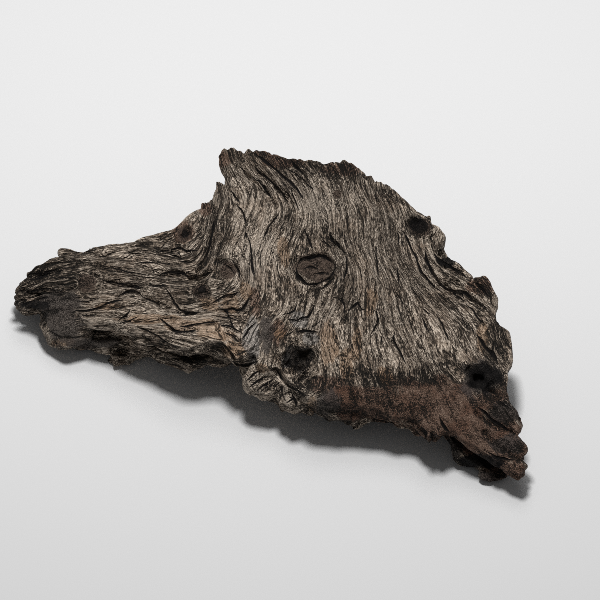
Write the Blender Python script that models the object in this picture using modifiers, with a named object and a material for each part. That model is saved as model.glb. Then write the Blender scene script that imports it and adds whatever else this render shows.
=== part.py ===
"""Mopani root: one weathered, gnarled piece of root wood, 300 mm from tip to tip.

The wood is first laid out flat. Its layers are outlines in picture points, seen from above the front,
and each has its depth under the weathered face. The layers and lumps are fused into one solid, which is
grooved along the grain, and then tilted, bent and set down on three low points.
Units are metres, X runs along the root, Y to its back and Z up.
"""

import math

import bmesh
import bpy
import numpy as np
from mathutils import Matrix, Vector, noise

# Real size, and the view that the picture points belong to
NAME = "mopani_root"
LENGTH = 0.300
PICTURE_LENGTH = 514.0
POINT = LENGTH / PICTURE_LENGTH
PICTURE_ORIGIN = (271.5, 351.8)
VIEW_ANGLE = math.radians(50.0)
SIN_VIEW = math.sin(VIEW_ANGLE)
COS_VIEW = math.cos(VIEW_ANGLE)

# The weathered face is a plane that rises towards the back
FACE_HEIGHT = 0.050
FACE_RISE = 0.147

# Fineness of the solid
VOXEL = 0.0015
TRIANGLES = 11700

# Layers of the wood: depth below the face of the top, of the underside and of the edge that the
# outline shows, then the outline
LAYERS = {
    "face": (0.000, 0.009, 0.002, [
        (15, 297), (17, 287), (21, 280), (27, 273), (38, 265), (49, 258), (62, 256), (84, 259), (103, 258),
        (116, 254), (140, 255), (157, 251), (170, 242), (179, 234), (183, 226), (189, 224), (199, 212),
        (203, 200), (206, 200), (208, 209), (211, 202), (214, 203), (215, 211), (216, 188), (219, 179),
        (223, 186), (232, 191),
        (230, 178), (226, 168), (220, 157), (224, 146), (236, 147), (246, 153), (246, 145), (257, 148),
        (266, 148), (284, 157), (300, 157), (308, 160), (320, 161), (333, 165), (335, 160), (351, 160),
        (362, 172), (377, 188), (394, 193), (405, 202), (413, 209), (419, 216), (430, 214), (436, 224),
        (446, 232), (447, 243), (438, 255), (448, 268), (462, 279), (474, 278), (486, 278), (493, 287),
        (498, 297), (498, 307),
        (499, 318), (510, 331), (515, 350), (512, 367), (508, 371), (509, 388), (514, 404), (523, 421),
        (521, 431), (516, 433), (527, 447), (528, 453), (522, 459), (528, 468), (521, 475), (511, 471),
        (498, 464), (485, 455), (470, 443), (456, 431), (446, 419), (445, 430), (441, 438), (436, 441),
        (430, 436), (424, 428), (413, 421), (396, 418), (380, 411), (357, 405), (338, 406), (320, 402),
        (306, 395), (291, 383), (278, 368), (268, 371), (258, 366), (257, 352), (250, 358), (236, 360),
        (229, 350), (222, 342), (210, 341), (202, 344), (188, 349), (172, 345), (150, 338), (122, 328),
        (112, 324), (82, 321), (73, 309), (62, 293), (50, 293), (40, 299), (24, 304), (16, 302)]),
    "core": (0.006, 0.028, 0.020, [
        (60, 262), (110, 258), (160, 254), (195, 225), (225, 200), (235, 165), (300, 170), (350, 175),
        (400, 205), (430, 235), (450, 280), (485, 300), (495, 350), (490, 390), (503, 418), (465, 408),
        (430, 396), (390, 392), (350, 390), (310, 380), (285, 360), (262, 345), (235, 335), (200, 330),
        (150, 325), (110, 310), (75, 290)]),
    "left tip under": (0.007, 0.017, 0.015, [
        (16, 299), (20, 289), (40, 278), (65, 275), (80, 290), (70, 300), (56, 303), (50, 307), (33, 308),
        (20, 306)]),
    "left lip": (0.017, 0.027, 0.025, [
        (38, 327), (41, 321), (48, 314), (54, 300), (70, 285), (110, 290), (131, 320), (131, 342),
        (121, 350), (108, 351), (90, 346), (72, 347), (57, 341), (47, 331)]),
    "upper fold": (0.009, 0.015, 0.013, [
        (120, 332), (150, 342), (170, 349), (190, 353), (205, 350), (222, 350), (232, 357), (236, 330),
        (150, 315)]),
    "middle fold": (0.017, 0.023, 0.021, [
        (118, 340), (140, 350), (165, 357), (190, 363), (206, 360), (222, 360), (231, 362), (240, 340),
        (150, 320)]),
    "lower fold": (0.024, 0.032, 0.030, [
        (112, 350), (130, 358), (150, 358), (172, 364), (190, 370), (203, 367), (214, 361), (232, 345),
        (150, 320)]),
    "splint": (0.028, 0.035, 0.034, [
        (108, 346), (112, 364), (120, 365), (137, 360), (150, 358), (175, 366), (190, 370), (200, 362),
        (150, 335), (118, 335)]),
    "left block": (0.010, 0.026, 0.023, [
        (243, 363), (246, 380), (252, 396), (262, 403), (279, 401), (284, 407), (291, 400), (292, 386),
        (280, 360), (250, 345)]),
    "right block": (0.010, 0.024, 0.021, [
        (281, 386), (284, 407), (297, 411), (303, 409), (313, 416), (319, 413), (322, 395), (306, 370),
        (285, 365)]),
    "left block slope": (0.007, 0.020, 0.016, [
        (245, 357), (249, 372), (256, 387), (266, 393), (280, 392), (290, 395), (294, 380), (280, 355),
        (255, 340)]),
    "right block slope": (0.006, 0.016, 0.012, [
        (282, 380), (287, 397), (300, 402), (312, 405), (322, 400), (326, 385), (308, 362), (288, 360)]),
    "front rim": (0.009, 0.020, 0.018, [
        (305, 385), (315, 415), (329, 425), (345, 431), (358, 424), (375, 420), (405, 425), (415, 426),
        (427, 435), (436, 443), (443, 436), (440, 405), (400, 385), (330, 370)]),
    "right lip": (0.018, 0.026, 0.024, [
        (444, 430), (453, 446), (461, 459), (472, 469), (484, 475), (490, 482), (500, 484), (507, 478),
        (507, 455), (490, 420), (470, 385), (430, 380)]),
    "right ledge": (0.009, 0.017, 0.011, [
        (442, 245), (451, 255), (459, 259), (466, 268), (474, 274), (484, 290), (455, 310), (425, 270)]),
    "right edge": (0.008, 0.019, 0.011, [
        (476, 286), (484, 294), (489, 305), (489, 322), (498, 336), (503, 351), (500, 366), (495, 375),
        (497, 392), (503, 407), (510, 420), (490, 425), (460, 350), (455, 290)]),
    "back layer": (0.008, 0.023, 0.010, [
        (40, 278), (62, 265), (100, 264), (150, 260), (180, 245), (200, 222), (226, 192), (232, 164),
        (260, 160), (300, 170), (342, 176), (375, 202), (400, 220), (426, 246), (440, 266), (400, 310),
        (250, 270), (100, 285)]),
    "belly": (0.022, 0.034, 0.028, [
        (120, 290), (150, 270), (230, 235), (260, 195), (330, 190), (400, 230), (440, 300), (460, 350),
        (440, 385), (350, 375), (290, 355), (240, 330), (180, 325), (130, 315)]),
}

# Rounded lumps: picture point, height of the centre above the ground, then the three radii
LUMPS = {
    "back burl": ((360, 238), 0.024, (0.040, 0.028, 0.026)),
    "back burl shoulder": ((315, 262), 0.034, (0.042, 0.026, 0.020)),
    "right root stub": ((455, 345), 0.016, (0.022, 0.030, 0.014)),
    "snout keel": ((150, 318), 0.022, (0.038, 0.018, 0.012)),
    "slate bulge": ((68, 318), 0.018, (0.016, 0.018, 0.012)),
    "left block swell": ((263, 385), 0.026, (0.0120, 0.0100, 0.0120)),
    "right block swell": ((299, 398), 0.027, (0.0110, 0.0080, 0.0090)),
    "pale knob": ((224, 358), 0.026, (0.006, 0.004, 0.006)),
    "crumb one": ((283, 354), 0.044, (0.005, 0.004, 0.006)),
    "crumb two": ((287, 366), 0.038, (0.004, 0.004, 0.004)),
    "crumb three": ((305, 338), 0.047, (0.005, 0.004, 0.004)),
    "crumb four": ((283, 376), 0.033, (0.005, 0.004, 0.005)),
}

# Torn splinters at the edges: foot and tip in picture points, depth below the face, radius at the foot
SPLINTERS = [
    ((222, 202), (219, 179), 0.002, 0.0028), ((215, 217), (212, 202), 0.002, 0.0024),
    ((204, 216), (204, 200), 0.003, 0.0026), ((190, 226), (196, 212), 0.003, 0.0024),
    ((183, 234), (182, 221), 0.003, 0.0024), ((238, 174), (221, 152), 0.003, 0.0044),
    ((256, 168), (249, 148), 0.002, 0.0034), ((338, 178), (335, 163), 0.003, 0.0034),
    ((430, 226), (431, 213), 0.002, 0.0024),
    ((440, 262), (459, 264), 0.011, 0.0030),
    ((486, 325), (506, 331), 0.004, 0.0040), ((490, 345), (511, 349), 0.004, 0.0040),
    ((488, 360), (508, 366), 0.006, 0.0036), ((486, 396), (510, 406), 0.005, 0.0040),
    ((485, 404), (522, 421), 0.004, 0.0044), ((484, 420), (527, 450), 0.004, 0.0048),
    ((490, 440), (528, 468), 0.006, 0.0046), ((470, 430), (510, 471), 0.008, 0.0038),
    ((48, 288), (15, 297), 0.005, 0.0042), ((52, 276), (20, 284), 0.004, 0.0038),
    ((60, 268), (27, 274), 0.004, 0.0034),
    ((150, 350), (114, 365), 0.032, 0.0030), ((470, 450), (499, 482), 0.023, 0.0042),
    ((424, 420), (437, 441), 0.010, 0.0036),
]
SPLINTER_TIP = 0.45

# Low points that it stands on: picture point where it meets the ground, and radii of the stub
FEET = {
    "splint foot": ((122, 359), (0.009, 0.005, 0.005)),
    "right front foot": ((493, 476), (0.008, 0.0045, 0.004)),
    "back foot": ((367, 242), (0.018, 0.016, 0.024)),
}
FOOT_SINK = 0.0014
GROUND_GAP = 0.003
# Slivers shorter than this are cleared from the cut under the feet, up to this height
SLIVER = 0.00002
CUT_REACH = 0.001

# Knots and pits: picture point, radii in picture points, depth of the pit and height of its collar
KNOTS = [
    ((317, 267), (20, 14), 0.0032, 0.0018),
    ((228, 268), (11, 10), 0.0032, 0.0014),
    ((203, 290), (9, 7), 0.0034, 0.0012),
    ((186, 232), (7, 8), 0.0045, 0.0012),
    ((88, 282), (10, 12), 0.0018, 0.0012),
    ((421, 224), (12, 9), 0.0055, 0.0015),
    ((481, 374), (12, 12), 0.0090, 0.0008),
    ((492, 389), (8, 11), 0.0080, 0.0004),
    ((309, 353), (11, 12), 0.0105, 0.0004),
    ((295, 361), (10, 10), 0.0095, 0.0004),
    ((299, 345), (7, 5), 0.0050, 0.0000),
    ((305, 376), (12, 6), 0.0040, 0.0000),
    ((338, 192), (4, 4), 0.0016, 0.0008),
    ((455, 281), (8, 4), 0.0022, 0.0012),
]

KNOT_UNEVENNESS = 0.45

# Long open cracks: width, depth and the line that they follow
CRACKS = [
    (0.0016, 0.0040, [(240, 163), (246, 170), (252, 176), (258, 178), (266, 188), (275, 203)]),
    (0.0014, 0.0035, [(256, 165), (266, 171), (276, 181), (286, 192), (298, 207)]),
    (0.0016, 0.0035, [(214, 207), (213, 225), (211, 243), (206, 256), (199, 266)]),
    (0.0016, 0.0030, [(162, 272), (186, 271), (200, 274), (212, 271)]),
    (0.0016, 0.0035, [(118, 295), (134, 289), (150, 297), (167, 304)]),
    (0.0014, 0.0030, [(109, 278), (130, 283), (150, 286)]),
    (0.0014, 0.0030, [(331, 233), (338, 242), (346, 251)]),
    (0.0016, 0.0030, [(430, 265), (440, 278), (458, 289), (476, 298), (485, 305)]),
    (0.0016, 0.0030, [(30, 272), (45, 272), (58, 268)]),
    (0.0016, 0.0030, [(22, 290), (35, 287), (50, 289), (62, 291)]),
    (0.0018, 0.0035, [(480, 412), (490, 420), (500, 427), (514, 432)]),
    (0.0018, 0.0035, [(486, 432), (500, 445), (522, 459)]),
    (0.0014, 0.0025, [(220, 308), (240, 309), (251, 296)]),
]

# Lines that the grain follows from the top edge down, one beside the other
GRAIN_LINES = [
    [(204, 199), (200, 208), (180, 226), (160, 243), (120, 247), (80, 252), (45, 256), (20, 280)],
    [(212, 203), (208, 225), (190, 245), (150, 251), (95, 258), (50, 268), (22, 283)],
    [(216, 190), (214, 222), (199, 262), (150, 270), (95, 268), (45, 278), (18, 291)],
    [(222, 180), (222, 215), (208, 268), (165, 281), (115, 280), (60, 289), (20, 300)],
    [(225, 150), (240, 185), (228, 250), (205, 290), (150, 296), (132, 290), (110, 296), (85, 300)],
    [(232, 150), (256, 190), (243, 262), (222, 297), (170, 304), (140, 300), (80, 308)],
    [(240, 153), (265, 190), (256, 240), (246, 300), (195, 314), (130, 320), (80, 316)],
    [(250, 150), (280, 195), (265, 250), (256, 312), (243, 337), (225, 322), (170, 330), (120, 330)],
    [(258, 148), (290, 195), (275, 260), (262, 325), (250, 352)],
    [(270, 155), (300, 200), (284, 260), (290, 310), (270, 360)],
    [(285, 160), (310, 205), (297, 255), (305, 290), (300, 318), (280, 340)],
    [(300, 162), (320, 200), (325, 235), (343, 275), (325, 320), (330, 380)],
    [(320, 165), (333, 200), (338, 235), (352, 290), (350, 350), (352, 375)],
    [(340, 165), (350, 200), (368, 270), (375, 340), (395, 415)],
    [(360, 172), (372, 210), (390, 285), (410, 360), (435, 440)],
    [(380, 190), (392, 225), (415, 285), (445, 350), (490, 425), (510, 450)],
    [(400, 200), (408, 235), (440, 285), (475, 335), (500, 395), (520, 420)],
    [(412, 215), (418, 245), (450, 285), (490, 325), (505, 370)],
    [(440, 235), (440, 255), (480, 285), (505, 335), (512, 350)],
]

# Grooves along the grain: length, width and height of the coarse and of the narrower ridges,
# then size and height of the breaks at the edges and of the swells
COARSE_RIDGES = (0.060, 0.0080, 0.0042)
NARROW_RIDGES = (0.034, 0.0046, 0.0024)
RIDGE_WAVES = (0.036, 0.020, 0.0040)
LAYER_HEIGHT = 0.0075
EDGE_BREAKS = (0.011, 0.0030)
UNDER_SWELL = (0.024, 0.0065)
SLOW_SWELL = (0.045, 0.0020)

# How strongly the ridges stand out, then spots where it differs: picture point, radii and strength
GRAIN_STRENGTH = 0.80
GRAIN_SPOTS = [
    ((262, 185), (58, 48), 1.0), ((180, 320), (95, 32), 1.0), ((460, 280), (42, 30), 1.0),
    ((66, 316), (18, 24), 0.15), ((257, 340), (12, 22), 0.3), ((330, 405), (14, 12), 0.2),
    ((420, 398), (62, 20), 0.45), ((262, 385), (24, 20), 1.0),
]
# Share that the ridges lose on steep walls, and that the hidden swells lose where the wood faces up
EDGE_CALM = 0.55
UPPER_CALM = 0.85

WOOD_COLOUR = (0.115, 0.088, 0.066, 1.0)
WOOD_ROUGHNESS = 0.85


def ramp(value, start, end):
    """Rises smoothly from 0 at start to 1 at end."""
    share = np.clip((np.asarray(value, dtype=float) - start) / (end - start), 0.0, 1.0)
    return share * share * (3.0 - 2.0 * share)


def droop(px, py):
    """How far the wood bends down below the plane of the face at a picture point."""
    left = 0.026 * np.clip((205.0 - px) / 190.0, 0.0, 1.0) ** 1.1
    right_front = 0.009 * ramp(py, 365.0, 470.0) * ramp(px, 395.0, 500.0)
    front_rim = 0.005 * ramp(py, 385.0, 425.0) * ramp(px, 295.0, 330.0) * ramp(-px, -450.0, -400.0)
    broken_end = 0.0016 * ramp(py, 364.0, 384.0) * ramp(px, 350.0, 400.0)
    right_side = 0.006 * ramp(px, 465.0, 515.0) * ramp(-py, -400.0, -330.0)
    back_lift = -0.004 * ramp(-py, -200.0, -150.0) * ramp(-px, -300.0, -230.0)
    left_lift = -0.003 * ramp(-px, -250.0, -215.0) * ramp(px, 150.0, 200.0) * ramp(py, 290.0, 330.0)
    return left + right_front + front_rim + broken_end + right_side + back_lift + left_lift


def picture_point(x, y, level):
    """Picture point of a place in the flat wood; level is its height over the face, below 0 inside."""
    upright = y * SIN_VIEW + (FACE_HEIGHT + FACE_RISE * y + level) * COS_VIEW
    return PICTURE_ORIGIN[0] + x / POINT, PICTURE_ORIGIN[1] - upright / POINT


def place_at_depth(px, py, depth):
    """Place in the flat wood that shows at a picture point and lies at this depth."""
    upright = (PICTURE_ORIGIN[1] - py) * POINT
    y = (upright - (FACE_HEIGHT - depth) * COS_VIEW) / (SIN_VIEW + FACE_RISE * COS_VIEW)
    return (px - PICTURE_ORIGIN[0]) * POINT, y, -depth


def place_at_height(px, py, height):
    """Place in the flat wood that ends at this height above the ground, under a picture point."""
    upright = (PICTURE_ORIGIN[1] - py) * POINT
    before_bend = height + float(droop(px, py))
    y = (upright - before_bend * COS_VIEW) / SIN_VIEW
    level = before_bend - FACE_HEIGHT - FACE_RISE * y
    return (px - PICTURE_ORIGIN[0]) * POINT, y, level


def bend_to_ground(points):
    """Carries points of the flat wood to their places on the tilted, drooping root."""
    px, py = picture_point(points[:, 0], points[:, 1], points[:, 2])
    drop = droop(px, py)
    bent = points.copy()
    bent[:, 1] = points[:, 1] + drop * COS_VIEW / SIN_VIEW
    bent[:, 2] = FACE_HEIGHT + FACE_RISE * points[:, 1] + points[:, 2] - drop
    return bent


def new_collection(name):
    collection = bpy.data.collections.new(name)
    bpy.context.scene.collection.children.link(collection)
    return collection


def add_layer(name, top, underside, shown, outline, collection):
    """One layer as a flat filled outline with thickness, made a mesh with its caps welded."""
    middle = (top + underside) / 2.0
    curve = bpy.data.curves.new(name, "CURVE")
    curve.dimensions = "2D"
    curve.fill_mode = "BOTH"
    curve.extrude = (underside - top) / 2.0
    spline = curve.splines.new("POLY")
    spline.points.add(len(outline) - 1)
    for point, (px, py) in zip(spline.points, outline):
        x, y, _ = place_at_depth(px, py, shown)
        point.co = (x, y, 0.0, 1.0)
    spline.use_cyclic_u = True
    drawn = bpy.data.objects.new(name, curve)
    drawn.location.z = -middle
    collection.objects.link(drawn)
    view_layer = bpy.context.view_layer
    view_layer.update()
    mesh = bpy.data.meshes.new_from_object(drawn.evaluated_get(bpy.context.evaluated_depsgraph_get()))
    mesh.transform(drawn.matrix_world)
    bpy.data.objects.remove(drawn)
    weld = bmesh.new()
    weld.from_mesh(mesh)
    bmesh.ops.remove_doubles(weld, verts=weld.verts, dist=0.00001)
    bmesh.ops.recalc_face_normals(weld, faces=weld.faces)
    weld.to_mesh(mesh)
    weld.free()
    return mesh


def add_lump(name, centre, radii):
    """One rounded lump as a stretched sphere."""
    mesh = bpy.data.meshes.new(name)
    ball = bmesh.new()
    stretch = Matrix.Translation(centre) @ Matrix.Diagonal((*radii, 1.0))
    bmesh.ops.create_uvsphere(ball, u_segments=24, v_segments=14, radius=1.0, matrix=stretch)
    ball.to_mesh(mesh)
    ball.free()
    return mesh


def add_splinter(foot, tip, depth, radius):
    """One torn splinter as a slim cone from its foot in the wood to its tip."""
    start = Vector(place_at_depth(*foot, depth + radius))
    end = Vector(place_at_depth(*tip, depth))
    mesh = bpy.data.meshes.new("splinter")
    cone = bmesh.new()
    aim = (end - start).to_track_quat("Z", "Y").to_matrix().to_4x4()
    bmesh.ops.create_cone(cone, cap_ends=True, segments=12, radius1=radius, radius2=radius * SPLINTER_TIP,
                          depth=(end - start).length, matrix=Matrix.Translation((start + end) / 2.0) @ aim)
    cone.to_mesh(mesh)
    cone.free()
    return mesh


def evaluated_mesh(holder):
    bpy.context.view_layer.update()
    return bpy.data.meshes.new_from_object(holder.evaluated_get(bpy.context.evaluated_depsgraph_get()))


def skin_of(mesh, collection, voxel):
    """One closed skin round everything in the mesh."""
    holder = bpy.data.objects.new("skin", mesh)
    collection.objects.link(holder)
    remesh = holder.modifiers.new("one skin", "REMESH")
    remesh.mode = "VOXEL"
    remesh.voxel_size = voxel
    skin = evaluated_mesh(holder)
    bpy.data.objects.remove(holder)
    return skin


def joined(meshes):
    """All the meshes in one, still as separate shells."""
    everything = bmesh.new()
    for mesh in meshes:
        everything.from_mesh(mesh)
    mesh = bpy.data.meshes.new("blank")
    everything.to_mesh(mesh)
    everything.free()
    return mesh


def read_points(mesh):
    points = np.empty(len(mesh.vertices) * 3)
    mesh.vertices.foreach_get("co", points)
    return points.reshape(-1, 3)


def read_normals(mesh):
    normals = np.empty(len(mesh.vertices) * 3)
    mesh.vertices.foreach_get("normal", normals)
    return normals.reshape(-1, 3)


def write_points(mesh, points):
    mesh.vertices.foreach_set("co", points.ravel())
    mesh.update()


def smooth(mesh, rounds, factor):
    """Rounds off the steps of the skin."""
    shape = bmesh.new()
    shape.from_mesh(mesh)
    for _ in range(rounds):
        bmesh.ops.smooth_vert(shape, verts=shape.verts, factor=factor, use_axis_x=True, use_axis_y=True,
                              use_axis_z=True)
    shape.to_mesh(mesh)
    shape.free()


def thin_plate(distance_squared):
    return 0.5 * distance_squared * np.log(distance_squared + 1e-12)


class GrainMap:
    """Smooth map from a place on the wood to its place along and across the grain."""

    def __init__(self, lines):
        places = []
        values = []
        across = 0.0
        beside = None
        for line in lines:
            corners = np.array([place_at_depth(px, py, 0.0)[:2] for px, py in line])
            if beside is not None:
                across += distance_to_line(corners[:, 0], corners[:, 1], beside).mean()
            steps = np.hypot(*np.diff(corners, axis=0).T)
            places.extend(corners)
            values.extend((along, across) for along in np.concatenate([[0.0], np.cumsum(steps)]))
            beside = line
        self.scale = LENGTH / 2.0
        self.knots = np.array(places) / self.scale
        count = len(places)
        flat = np.hstack([np.ones((count, 1)), self.knots])
        gaps = self.knots[:, None, :] - self.knots[None, :, :]
        system = np.zeros((count + 3, count + 3))
        system[:count, :count] = thin_plate((gaps ** 2).sum(axis=2)) + np.eye(count) * 0.002
        system[:count, count:] = flat
        system[count:, :count] = flat.T
        wanted = np.zeros((count + 3, 2))
        wanted[:count] = values
        self.weights = np.linalg.solve(system, wanted)

    def read(self, x, y):
        places = np.column_stack([x, y]) / self.scale
        answers = []
        for part in np.array_split(places, max(1, len(places) // 20000)):
            gaps = part[:, None, :] - self.knots[None, :, :]
            bent = thin_plate((gaps ** 2).sum(axis=2)) @ self.weights[:len(self.knots)]
            flat = np.hstack([np.ones((len(part), 1)), part]) @ self.weights[len(self.knots):]
            answers.append(bent + flat)
        both = np.vstack(answers)
        return both[:, 0], both[:, 1]


def distance_to_line(x, y, line):
    """Distance from each place to a line of picture points on the face."""
    corners = [place_at_depth(px, py, 0.0)[:2] for px, py in line]
    nearest = np.full(len(x), 1.0)
    for (ax, ay), (bx, by) in zip(corners, corners[1:]):
        run = np.array((bx - ax, by - ay))
        share = np.clip(((x - ax) * run[0] + (y - ay) * run[1]) / (run @ run), 0.0, 1.0)
        nearest = np.minimum(nearest, np.hypot(x - ax - share * run[0], y - ay - share * run[1]))
    return nearest


def ridges(along, across, depth, shape):
    """Rounded ridges with sharp grooves between them, from 0 in a groove to about 1."""
    length, width, _ = shape
    values = np.empty(len(along))
    for index, (a, b, c) in enumerate(zip(along / length, across / width, depth / LAYER_HEIGHT)):
        values[index] = abs(noise.noise(Vector((a, b, c)))) ** 0.75
    return values


def waves(x, y, z, size, seed):
    """Even, rolling noise between about -1 and 1."""
    values = np.empty(len(x))
    for index, (a, b, c) in enumerate(zip(x / size, y / size, z / size)):
        values[index] = noise.noise(Vector((a, b, c + seed)))
    return values


def grain_strength(px, py):
    """How strongly the ridges stand out at each picture point."""
    strength = np.full(len(px), GRAIN_STRENGTH)
    for (centre_x, centre_y), (radius_x, radius_y), wanted in GRAIN_SPOTS:
        reach = np.hypot((px - centre_x) / radius_x, (py - centre_y) / radius_y)
        strength += (wanted - strength) * (1.0 - ramp(reach, 0.6, 1.3))
    return strength


def carve_grain(points, normals, grain):
    """Moves the skin in and out by the ridges, the broken edges and the slow swells of the wood."""
    x, y, z = points.T
    along, across = grain.read(x, y)
    wave_length, wave_width, wave_height = RIDGE_WAVES
    bends = zip(along / wave_length, across / wave_width)
    fibre = across + wave_height * np.array([noise.noise(Vector((a, b, 4.0))) for a, b in bends])
    height = COARSE_RIDGES[2] * (ridges(along, fibre, z, COARSE_RIDGES) - 0.35)
    height += NARROW_RIDGES[2] * (ridges(along + 0.2, fibre, z, NARROW_RIDGES) - 0.35)
    on_wall = 1.0 - np.abs(normals[:, 2])
    height *= grain_strength(*picture_point(x, y, z)) * (1.0 - EDGE_CALM * on_wall)
    break_size, break_height = EDGE_BREAKS
    height += break_height * on_wall * waves(x, y, z * 2.0, break_size, 9.0)
    hidden = ramp(-z, 0.010, 0.020) * (1.0 - UPPER_CALM * np.clip(normals[:, 2], 0.0, 1.0))
    height += UNDER_SWELL[1] * hidden * waves(x, y, z, UNDER_SWELL[0], 3.0)
    moved = points + normals * height[:, None]
    moved[:, 2] += SLOW_SWELL[1] * waves(x, y, z, SLOW_SWELL[0], 2.0)
    return moved


def carve_knots_and_cracks(points, normals):
    """Sinks the pits and the open cracks into the face, and raises a collar round each pit."""
    x, y, z = points.T
    on_face = np.clip(normals[:, 2] * 1.6, 0.0, 1.0) * (z > -0.012)
    lift = np.zeros(len(x))
    rim_noise = waves(x, y, z, 0.009, 5.0)
    for (px, py), (radius_x, radius_y), depth, collar in KNOTS:
        centre_x, centre_y, _ = place_at_depth(px, py, 0.0)
        reach = np.hypot((x - centre_x) / (radius_x * POINT), (y - centre_y) / (radius_y * POINT / SIN_VIEW))
        reach *= 1.0 + KNOT_UNEVENNESS * rim_noise
        lift -= depth * np.exp(-(reach / 0.85) ** 4)
        lift += collar * np.exp(-((reach - 1.25) / 0.35) ** 2)
    for width, depth, line in CRACKS:
        lift -= depth * np.exp(-(distance_to_line(x, y, line) / width) ** 2)
    carved = points.copy()
    carved[:, 2] += lift * on_face
    return carved


def largest_shell(mesh):
    """Keeps the one shell that holds the root and drops any loose scrap."""
    shape = bmesh.new()
    shape.from_mesh(mesh)
    unseen = set(shape.verts)
    shells = []
    while unseen:
        front = [unseen.pop()]
        shell = list(front)
        while front:
            vertex = front.pop()
            for edge in vertex.link_edges:
                other = edge.other_vert(vertex)
                if other in unseen:
                    unseen.discard(other)
                    front.append(other)
                    shell.append(other)
        shells.append(shell)
    shells.sort(key=len)
    for shell in shells[:-1]:
        bmesh.ops.delete(shape, geom=shell, context="VERTS")
    shape.to_mesh(mesh)
    shape.free()


def lift_off_ground(points):
    """Keeps everything but the three feet clear of the ground."""
    near_foot = np.zeros(len(points))
    for (px, py), (radius_x, radius_y, _) in FEET.values():
        foot = bend_to_ground(np.array([place_at_height(px, py, 0.0)]))[0]
        reach = np.hypot((points[:, 0] - foot[0]) / radius_x, (points[:, 1] - foot[1]) / radius_y)
        near_foot = np.maximum(near_foot, 1.0 - ramp(reach, 0.8, 1.3))
    lowest = GROUND_GAP - near_foot * (GROUND_GAP + FOOT_SINK)
    lifted = points.copy()
    lifted[:, 2] = np.maximum(points[:, 2], lowest)
    return lifted


def thinned(mesh, collection, triangles):
    """The same shape with fewer triangles."""
    mesh.calc_loop_triangles()
    holder = bpy.data.objects.new("thinned", mesh)
    collection.objects.link(holder)
    decimate = holder.modifiers.new("fewer triangles", "DECIMATE")
    decimate.decimate_type = "COLLAPSE"
    decimate.use_collapse_triangulate = True
    decimate.ratio = triangles / len(mesh.loop_triangles)
    fewer = evaluated_mesh(holder)
    bpy.data.objects.remove(holder)
    return fewer


def cut_feet_flat(mesh):
    """Cuts the feet level at the ground and closes each cut with a flat face."""
    shape = bmesh.new()
    shape.from_mesh(mesh)
    everything = shape.verts[:] + shape.edges[:] + shape.faces[:]
    cut = bmesh.ops.bisect_plane(shape, geom=everything, dist=0.0000001, plane_co=(0.0, 0.0, 0.0),
                                 plane_no=(0.0, 0.0, 1.0), clear_inner=True)
    rim = [item for item in cut["geom_cut"] if isinstance(item, bmesh.types.BMEdge)]
    bmesh.ops.edgeloop_fill(shape, edges=rim)
    bmesh.ops.triangulate(shape, faces=shape.faces[:])
    by_the_cut = [edge for edge in shape.edges if max(vertex.co.z for vertex in edge.verts) < CUT_REACH]
    bmesh.ops.dissolve_degenerate(shape, dist=SLIVER, edges=by_the_cut)
    bmesh.ops.recalc_face_normals(shape, faces=shape.faces[:])
    shape.to_mesh(mesh)
    shape.free()


def set_to_length(mesh):
    """Centres the root on its own footprint and brings it to its real length."""
    points = read_points(mesh)
    low = points.min(axis=0)
    high = points.max(axis=0)
    middle = (low + high) / 2.0
    points -= (middle[0], middle[1], low[2])
    points *= LENGTH / (high[0] - low[0])
    write_points(mesh, points)


def wood_material():
    material = bpy.data.materials.new("weathered mopani wood")
    material.use_nodes = True
    surface = material.node_tree.nodes["Principled BSDF"]
    surface.inputs["Base Color"].default_value = WOOD_COLOUR
    surface.inputs["Roughness"].default_value = WOOD_ROUGHNESS
    surface.inputs["Metallic"].default_value = 0.0
    return material


def shape_root(collection):
    """The whole root as one closed mesh."""
    pieces = [add_layer(name, *layer, collection) for name, layer in LAYERS.items()]
    for name, ((px, py), height, radii) in LUMPS.items():
        pieces.append(add_lump(name, place_at_height(px, py, height), radii))
    for name, ((px, py), radii) in FEET.items():
        pieces.append(add_lump(name, place_at_height(px, py, radii[2] * 0.7), radii))
    pieces.extend(add_splinter(*splinter) for splinter in SPLINTERS)
    mesh = skin_of(joined(pieces), collection, VOXEL)
    smooth(mesh, 2, 0.5)
    grain = GrainMap(GRAIN_LINES)
    write_points(mesh, carve_knots_and_cracks(read_points(mesh), read_normals(mesh)))
    write_points(mesh, carve_grain(read_points(mesh), read_normals(mesh), grain))
    write_points(mesh, lift_off_ground(bend_to_ground(read_points(mesh))))
    mesh = skin_of(mesh, collection, VOXEL)
    largest_shell(mesh)
    mesh = thinned(mesh, collection, TRIANGLES)
    cut_feet_flat(mesh)
    largest_shell(mesh)
    set_to_length(mesh)
    return mesh


def main():
    for item in list(bpy.data.objects):
        bpy.data.objects.remove(item)
    collection = new_collection(NAME)
    mesh = shape_root(collection)
    mesh.name = NAME
    mesh.materials.append(wood_material())
    root = bpy.data.objects.new(NAME, mesh)
    collection.objects.link(root)


main()
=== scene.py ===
"""Mopani root: the weathered surface of one gnarled piece of root wood, with its stage.

The root is modelled again at a finer grain than its solid, from the same layers, lumps, knots and
cracks, and takes the solid's place. Its outlines are in picture points, seen from 50 degrees above the
front. Units are metres, X runs along the root, Y to its back and Z up.
"""

import math

import bmesh
import bpy
import numpy as np
from bpy.props import FloatProperty, FloatVectorProperty, IntProperty, PointerProperty
from bpy.types import Operator, Panel, PropertyGroup
from mathutils import Matrix, Vector, noise


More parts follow.
